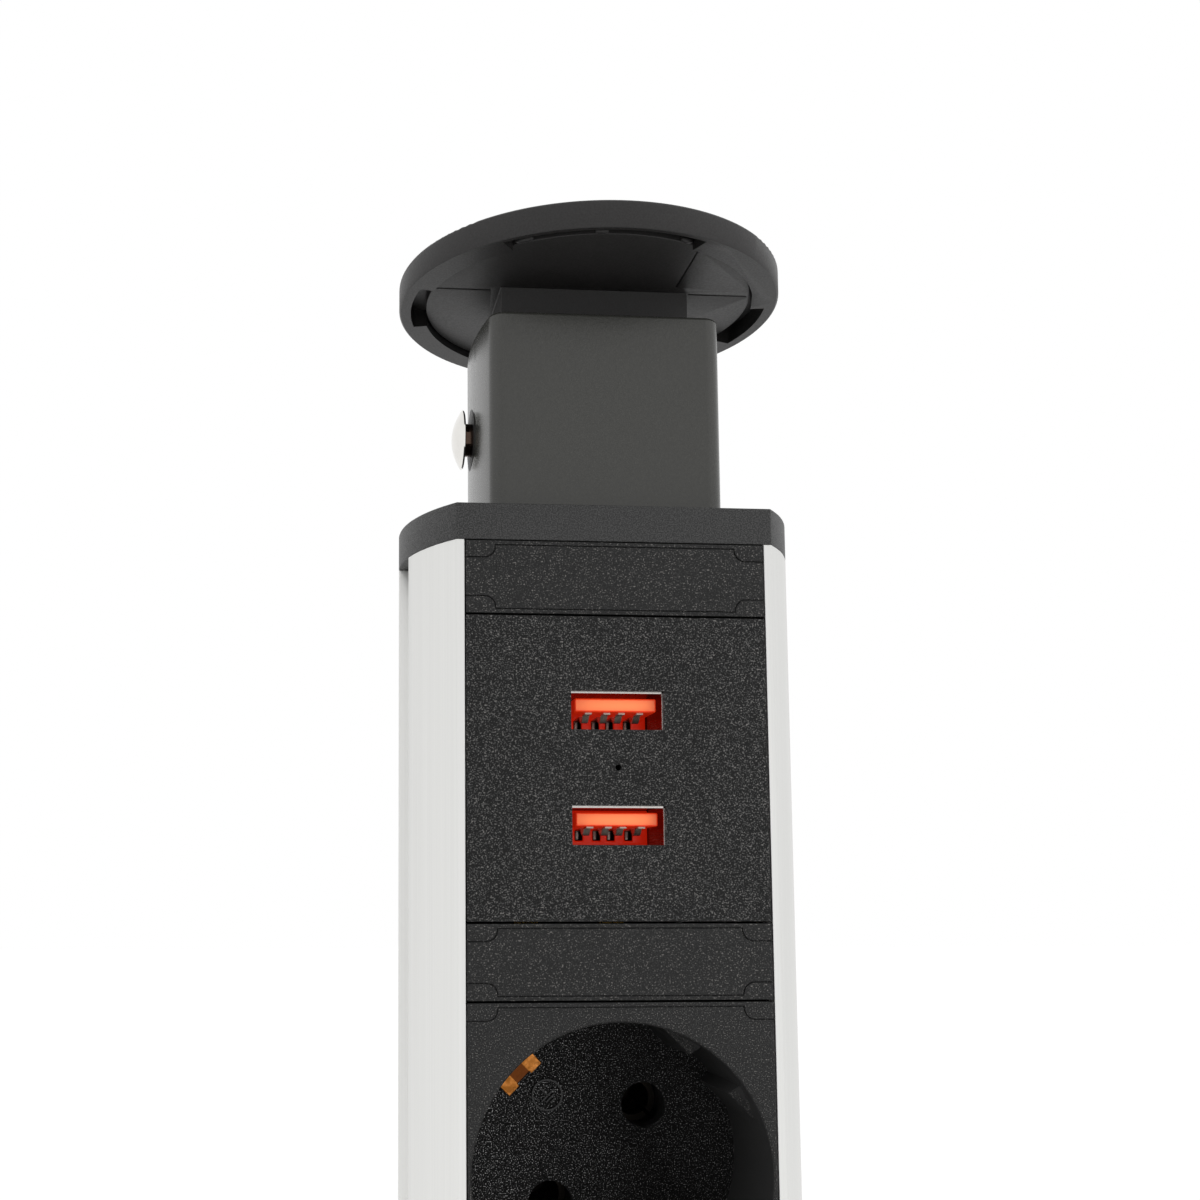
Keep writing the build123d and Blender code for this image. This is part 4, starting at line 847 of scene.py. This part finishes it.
class TOWER_OT_button(Piece):
    """Makes the turned push button and its return spring, and finishes its clip."""
    bl_idname = "tower.button"
    bl_label = "Button"
    TRAVEL = 1.0 * MM

    def make(self):
        low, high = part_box("release_button")
        centre = Vector((0, 0, (low.z + high.z) / 2))
        head_r = (high.z - low.z) / 2
        face, back = -low.x, -low.x - 1.7 * MM
        work = bmesh.new()
        dome = [(face, 0)]
        dome += [(face - 1.3 * MM * (k / 10) ** 2, head_r * 0.965 * k / 10) for k in range(1, 11)]
        rim = [(back + 0.28 * MM, head_r), (back + 0.12 * MM, head_r), (back, head_r - 0.15 * MM)]
        tip = -high.x
        stem = [(back, 2.4 * MM), (tip + 1.6 * MM, 2.4 * MM), (tip + 1.6 * MM, 1.6 * MM),
                (tip + 0.2 * MM, 1.6 * MM), (tip, 1.4 * MM), (tip, 0)]
        turned(work, dome + rim + stem, centre, Vector((-1, 0, 0)), 96)
        apply_modifiers(put_on("push_button", work, "release_button"))
        painted("button_clip")
        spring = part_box("button_spring")
        wire = 0.22 * MM
        radius = (spring[1].z - spring[0].z) / 2 - wire
        length = spring[1].x - spring[0].x
        coil = grown("return_spring", coil_tree(), "button_spring", {
            "Radius": radius, "Turns": 5.0, "Height": length - 2 * wire, "Wire Radius": wire,
            "Wire Sides": 8, "Steps": 32, "Start": (spring[0].x + wire, 0.0, centre.z),
            "Turn": (0.0, math.pi / 2, 0.0)})
        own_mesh(coil)


class TOWER_OT_column(Piece):
    """Dresses the aluminium column and the trim on its top end."""
    bl_idname = "tower.column"
    bl_label = "Column"

    def make(self):
        dressed("column_profile", sizes().metal_edge)
        dressed("top_trim", LIGHT_EDGE)


class TOWER_OT_front(Piece):
    """Dresses the blank pieces and the face of the charging module."""
    bl_idname = "tower.front"
    bl_label = "Front pieces"

    def make(self):
        for node in ("spacer_upper", "spacer_lower", "blank_cover", "usb_plate"):
            dressed(node, sizes().face_edge)


class TOWER_OT_ports(Piece):
    """Dresses the charging ports: shells, coloured insulators and spring contacts."""
    bl_idname = "tower.ports"
    bl_label = "Charging ports"

    def make(self):
        tree = contact_tree()
        for name in PORTS:
            dressed("usb_shell_" + name, 0.1 * MM)
            self.rolled_edge("usb_shell_" + name)
            dressed("usb_tongue_" + name, 0.24 * MM, 3)
            strips = solids("usb_contacts_" + name)
            points = [((low.x + high.x) / 2, low.y, high.z - 0.12 * MM) for low, high in strips]
            low, high = strips[0]
            grown("port_contacts_" + name, tree, "usb_contacts_" + name, {
                "Width": high.x - low.x, "Thickness": 0.22 * MM, "Length": high.y - low.y,
                "Drop": 1.7 * MM}, points)

    def rolled_edge(self, node):
        """Adds the top and the right of the shell's front edge, turned in a little."""
        low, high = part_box(node)
        wall, lip, side_lip = 0.3 * MM, 0.58 * MM, 0.45 * MM
        work = bmesh.new()
        for x0, x1, z0, z1 in ((low.x, high.x, high.z - lip, high.z - wall / 2),
                               (high.x - side_lip, high.x - wall / 2, low.z, high.z)):
            brick(work, (x0, low.y + 0.01 * MM, z0), (x1, low.y + wall, z1))
        put_on(node + "_edge", work, node, replaced=False)


class TOWER_OT_sockets(Piece):
    """Dresses the earthed sockets and raises the earth mark on each floor."""
    bl_idname = "tower.sockets"
    bl_label = "Sockets"

    def make(self):
        for index in SOCKETS:
            node = f"socket_insert_{index}"
            dressed(node, sizes().face_edge)
            low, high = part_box(node)
            self.earth_mark(node, (low.z + high.z) / 2)

    def earth_mark(self, node, middle):
        """The usual earth sign in a ring: a stem that ends on three bars."""
        floor = -0.5 * MM
        centre = Vector((-7.0 * MM, floor, middle + 8.2 * MM))
        lean = math.radians(45)
        across = Vector((math.cos(lean), 0, math.sin(lean)))
        up = Vector((-math.sin(lean), 0, math.cos(lean)))
        work = bmesh.new()
        rise, line = 0.22 * MM, 0.30 * MM
        ring = [centre + 2.1 * MM * (across * math.cos(a) + up * math.sin(a))
                for a in [2 * math.pi * k / 48 for k in range(48)]]
        ridge(work, ring, 0.34 * MM, rise, closed=True)
        ridge(work, [centre + up * 1.6 * MM, centre - up * 0.1 * MM], line, rise)
        for drop, half in ((0.1, 1.25), (0.6, 0.85), (1.1, 0.45)):
            spot = centre - up * drop * MM
            ridge(work, [spot - across * half * MM, spot + across * half * MM], line, rise)
        mark = put_on(f"earth_mark_{node[-1]}", work, node, replaced=False)
        mark.data.materials[0] = material("mark")


class TOWER_OT_contacts(Piece):
    """Dresses the earth clips and finishes the pin sleeves, carriers and bus bars."""
    bl_idname = "tower.contacts"
    bl_label = "Contacts"

    def make(self):
        for index in SOCKETS:
            dressed(f"earth_clip_{index}", 0.1 * MM)
            painted(f"contact_carrier_{index}", f"pin_contacts_{index}")
        painted("live_bus", "neutral_bus", "earth_bus", "bus_liner", "terminal_block")


class TOWER_OT_electronics(Piece):
    """Finishes the charging board, its parts and its cover."""
    bl_idname = "tower.electronics"
    bl_label = "Charging board"

    def make(self):
        painted("usb_board", "usb_rear_cover", "usb_transformer", "usb_capacitors", "usb_led",
                "usb_supply_pins")


class TOWER_OT_screws(Piece):
    """Makes all the screws, in the places of the frame's."""
    bl_idname = "tower.screws"
    bl_label = "Screws"
    TURNS = {"trim_screws": (math.pi, 0.0, 0.0), "neck_screws": (0.0, 0.0, 0.0),
             "lid_screws": (0.0, 0.0, 0.0), "foot_screws": (0.0, 0.0, 0.0),
             "carrier_screws": (math.pi / 2, 0.0, 0.0)}

    def make(self):
        tree = screw_tree()
        head_h = 1.2 * MM
        for node, turn in self.TURNS.items():
            boxes = solids(node)
            spots = []
            for low, high in boxes:
                spot = (low + high) / 2
                if node == "carrier_screws":
                    spot.y = high.y - head_h
                elif node == "trim_screws":
                    spot.z = high.z - head_h
                else:
                    spot.z = low.z + head_h
                spots.append(spot)
            low, high = boxes[0]
            length = max(high - low) - head_h
            grown(node + "_made", tree, node, {
                "Head Radius": (high.x - low.x) / 2, "Head Height": head_h, "Shank Radius": 1.0 * MM,
                "Shank Length": length, "Recess Width": 0.45 * MM, "Turn": turn}, spots)
        painted("terminal_screws")


class TOWER_OT_foot(Piece):
    """Dresses the foot and the gland of the supply cord."""
    bl_idname = "tower.foot"
    bl_label = "Foot and gland"

    def make(self):
        dressed("foot_cap", LIGHT_EDGE)
        dressed("cord_gland", LIGHT_EDGE)


class TOWER_OT_collar(Piece):
    """Dresses the desk collar with its thread, ring nut, washer and wiper."""
    bl_idname = "tower.collar"
    bl_label = "Desk collar"

    def make(self):
        # The ledge between the lid's seat and the bore is too thin for rounding.
        work = merged("desk_collar")
        choose(work, lambda spot: math.hypot(spot.x, spot.y) > 28.8 * MM or spot.z > 5.0 * MM)
        rounded(put_on("desk_collar_dressed", work, "desk_collar"), sizes().body_edge, chosen=True)
        dressed("ring_nut", sizes().body_edge)
        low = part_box("desk_collar")[0].z
        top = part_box("nut_washer")[1].z
        height = top - low - 1.4 * MM
        grown("barrel_thread", coil_tree(), "desk_collar", {
            "Radius": 29.25 * MM, "Turns": height / sizes().thread_pitch, "Height": height,
            "Wire Radius": 0.34 * MM, "Wire Sides": 6, "Steps": 120, "Start": (0.0, 0.0, low + 0.7 * MM),
            "Turn": (0.0, 0.0, 0.0)}, replaced=False)
        painted("nut_washer", "wiper_ring")


class TOWER_OT_stage(Piece):
    """Sets up the floor, the softboxes, the room light and the camera."""
    bl_idname = "tower.stage"
    bl_label = "Stage"

    def make(self):
        stage = bpy.context.scene.tower_stage
        self.floor(stage.floor_height)
        self.softbox("Left softbox", (-1.35, -0.55, 0.7), (1.1, 1.1), stage.key_power)
        self.softbox("Right softbox", (1.2, -0.85, 0.55), (1.0, 1.2), stage.fill_power)
        self.room(stage.room_light)
        self.camera()

    def seen_rays(self, tree):
        """1 on the rays that show a surface to the eye: straight, mirrored or through a clear piece."""
        path = add(tree, "ShaderNodeLightPath").outputs
        seen = maths(tree, "MAXIMUM", path["Is Camera Ray"], path["Is Glossy Ray"])
        return maths(tree, "MAXIMUM", seen, path["Is Transmission Ray"])

    def floor(self, height):
        mesh = bpy.data.meshes.new("floor")
        reach = 12.0
        mesh.from_pydata([(-reach, -reach, height), (reach, -reach, height), (reach, reach, height),
                          (-reach, reach, height)], [], [(0, 1, 2, 3)])
        placed("floor", mesh)
        made, tree, shader = finish("White paper", linear("#F2F2F0"), {"Roughness": 0.9,
                                                                       "Specular IOR Level": 0.1})
        share = maths(tree, "MULTIPLY", self.seen_rays(tree), 0.88)
        glow = add(tree, "ShaderNodeEmission", {"Color": linear("#FFFFFF"), "Strength": 1.15}).outputs[0]
        mixed = add(tree, "ShaderNodeMixShader", {0: share, 1: shader.outputs[0], 2: glow}).outputs[0]
        feed(tree, tree.nodes["Material Output"], {"Surface": mixed})
        mesh.materials.append(made)

    def softbox(self, name, place, size, power):
        lamp = bpy.data.lights.new(name, "AREA")
        lamp.shape = "RECTANGLE"
        lamp.size, lamp.size_y = size
        lamp.energy = power
        holder = placed(name, lamp)
        holder.location = place
        aim = Vector((0, 0, 0.15)) - Vector(place)
        holder.rotation_euler = aim.to_track_quat("-Z", "Y").to_euler()
        holder.visible_glossy = False

    def room(self, strength):
        world = bpy.data.worlds.new("Room")
        bpy.context.scene.world = world
        world.use_nodes = True
        tree = world.node_tree
        tree.nodes.clear()
        plain, white = [add(tree, "ShaderNodeBackground", {"Color": linear("#FFFFFF"), "Strength": power})
                        for power in (strength, 1.0)]
        mixed = add(tree, "ShaderNodeMixShader", {0: self.seen_rays(tree), 1: plain.outputs[0],
                                                  2: white.outputs[0]}).outputs[0]
        add(tree, "ShaderNodeOutputWorld", {"Surface": mixed})

    def camera(self):
        """Puts the camera where it was fitted to the outlines of the ports and the socket in the photo."""
        view = bpy.data.cameras.new("Camera")
        view.sensor_width = 36.0
        view.lens = 42.19
        view.shift_x, view.shift_y = 0.1487, 0.1259
        view.clip_start, view.clip_end = 0.01, 50.0
        holder = placed("Camera", view)
        holder.location = (-0.04065, -0.20085, 0.15923)
        holder.rotation_euler = (math.radians(90 + 5.71), 0.0, math.radians(-4.53))
        bpy.context.scene.camera = holder
        bpy.context.scene.view_settings.view_transform = "Standard"


OPERATORS = (TOWER_OT_lid, TOWER_OT_neck, TOWER_OT_button, TOWER_OT_column, TOWER_OT_front, TOWER_OT_ports,
             TOWER_OT_sockets, TOWER_OT_contacts, TOWER_OT_electronics, TOWER_OT_screws, TOWER_OT_foot,
             TOWER_OT_collar, TOWER_OT_stage)


class TOWER_PT_panel(bpy.types.Panel):
    """Lists the tower's operators and settings."""
    bl_idname = "TOWER_PT_panel"
    bl_label = "Desk Socket Tower"
    bl_space_type = "VIEW_3D"
    bl_region_type = "UI"
    bl_category = "Tower"

    def draw(self, context):
        for group in (context.scene.tower_sizes, context.scene.tower_colours, context.scene.tower_stage):
            box = self.layout.box()
            for key in group.__annotations__:
                box.prop(group, key)
        for operator in OPERATORS:
            self.layout.operator(operator.bl_idname)


GROUPS = {"tower_sizes": TowerSizes, "tower_colours": TowerColours, "tower_stage": TowerStage}


def register():
    """Makes the classes and settings known to Blender."""
    for key, group in GROUPS.items():
        bpy.utils.register_class(group)
        setattr(bpy.types.Scene, key, bpy.props.PointerProperty(type=group))
    for made in OPERATORS + (TOWER_PT_panel,):
        bpy.utils.register_class(made)


def unregister():
    """Takes the classes and settings away again."""
    for made in OPERATORS + (TOWER_PT_panel,):
        bpy.utils.unregister_class(made)
    for key, group in GROUPS.items():
        delattr(bpy.types.Scene, key)
        bpy.utils.unregister_class(group)


def main():
    """Dresses the whole tower and its stage."""
    register()
    for operator in OPERATORS:
        group, name = operator.bl_idname.split(".")
        getattr(getattr(bpy.ops, group), name)()


if __name__ == "__main__":
    main()
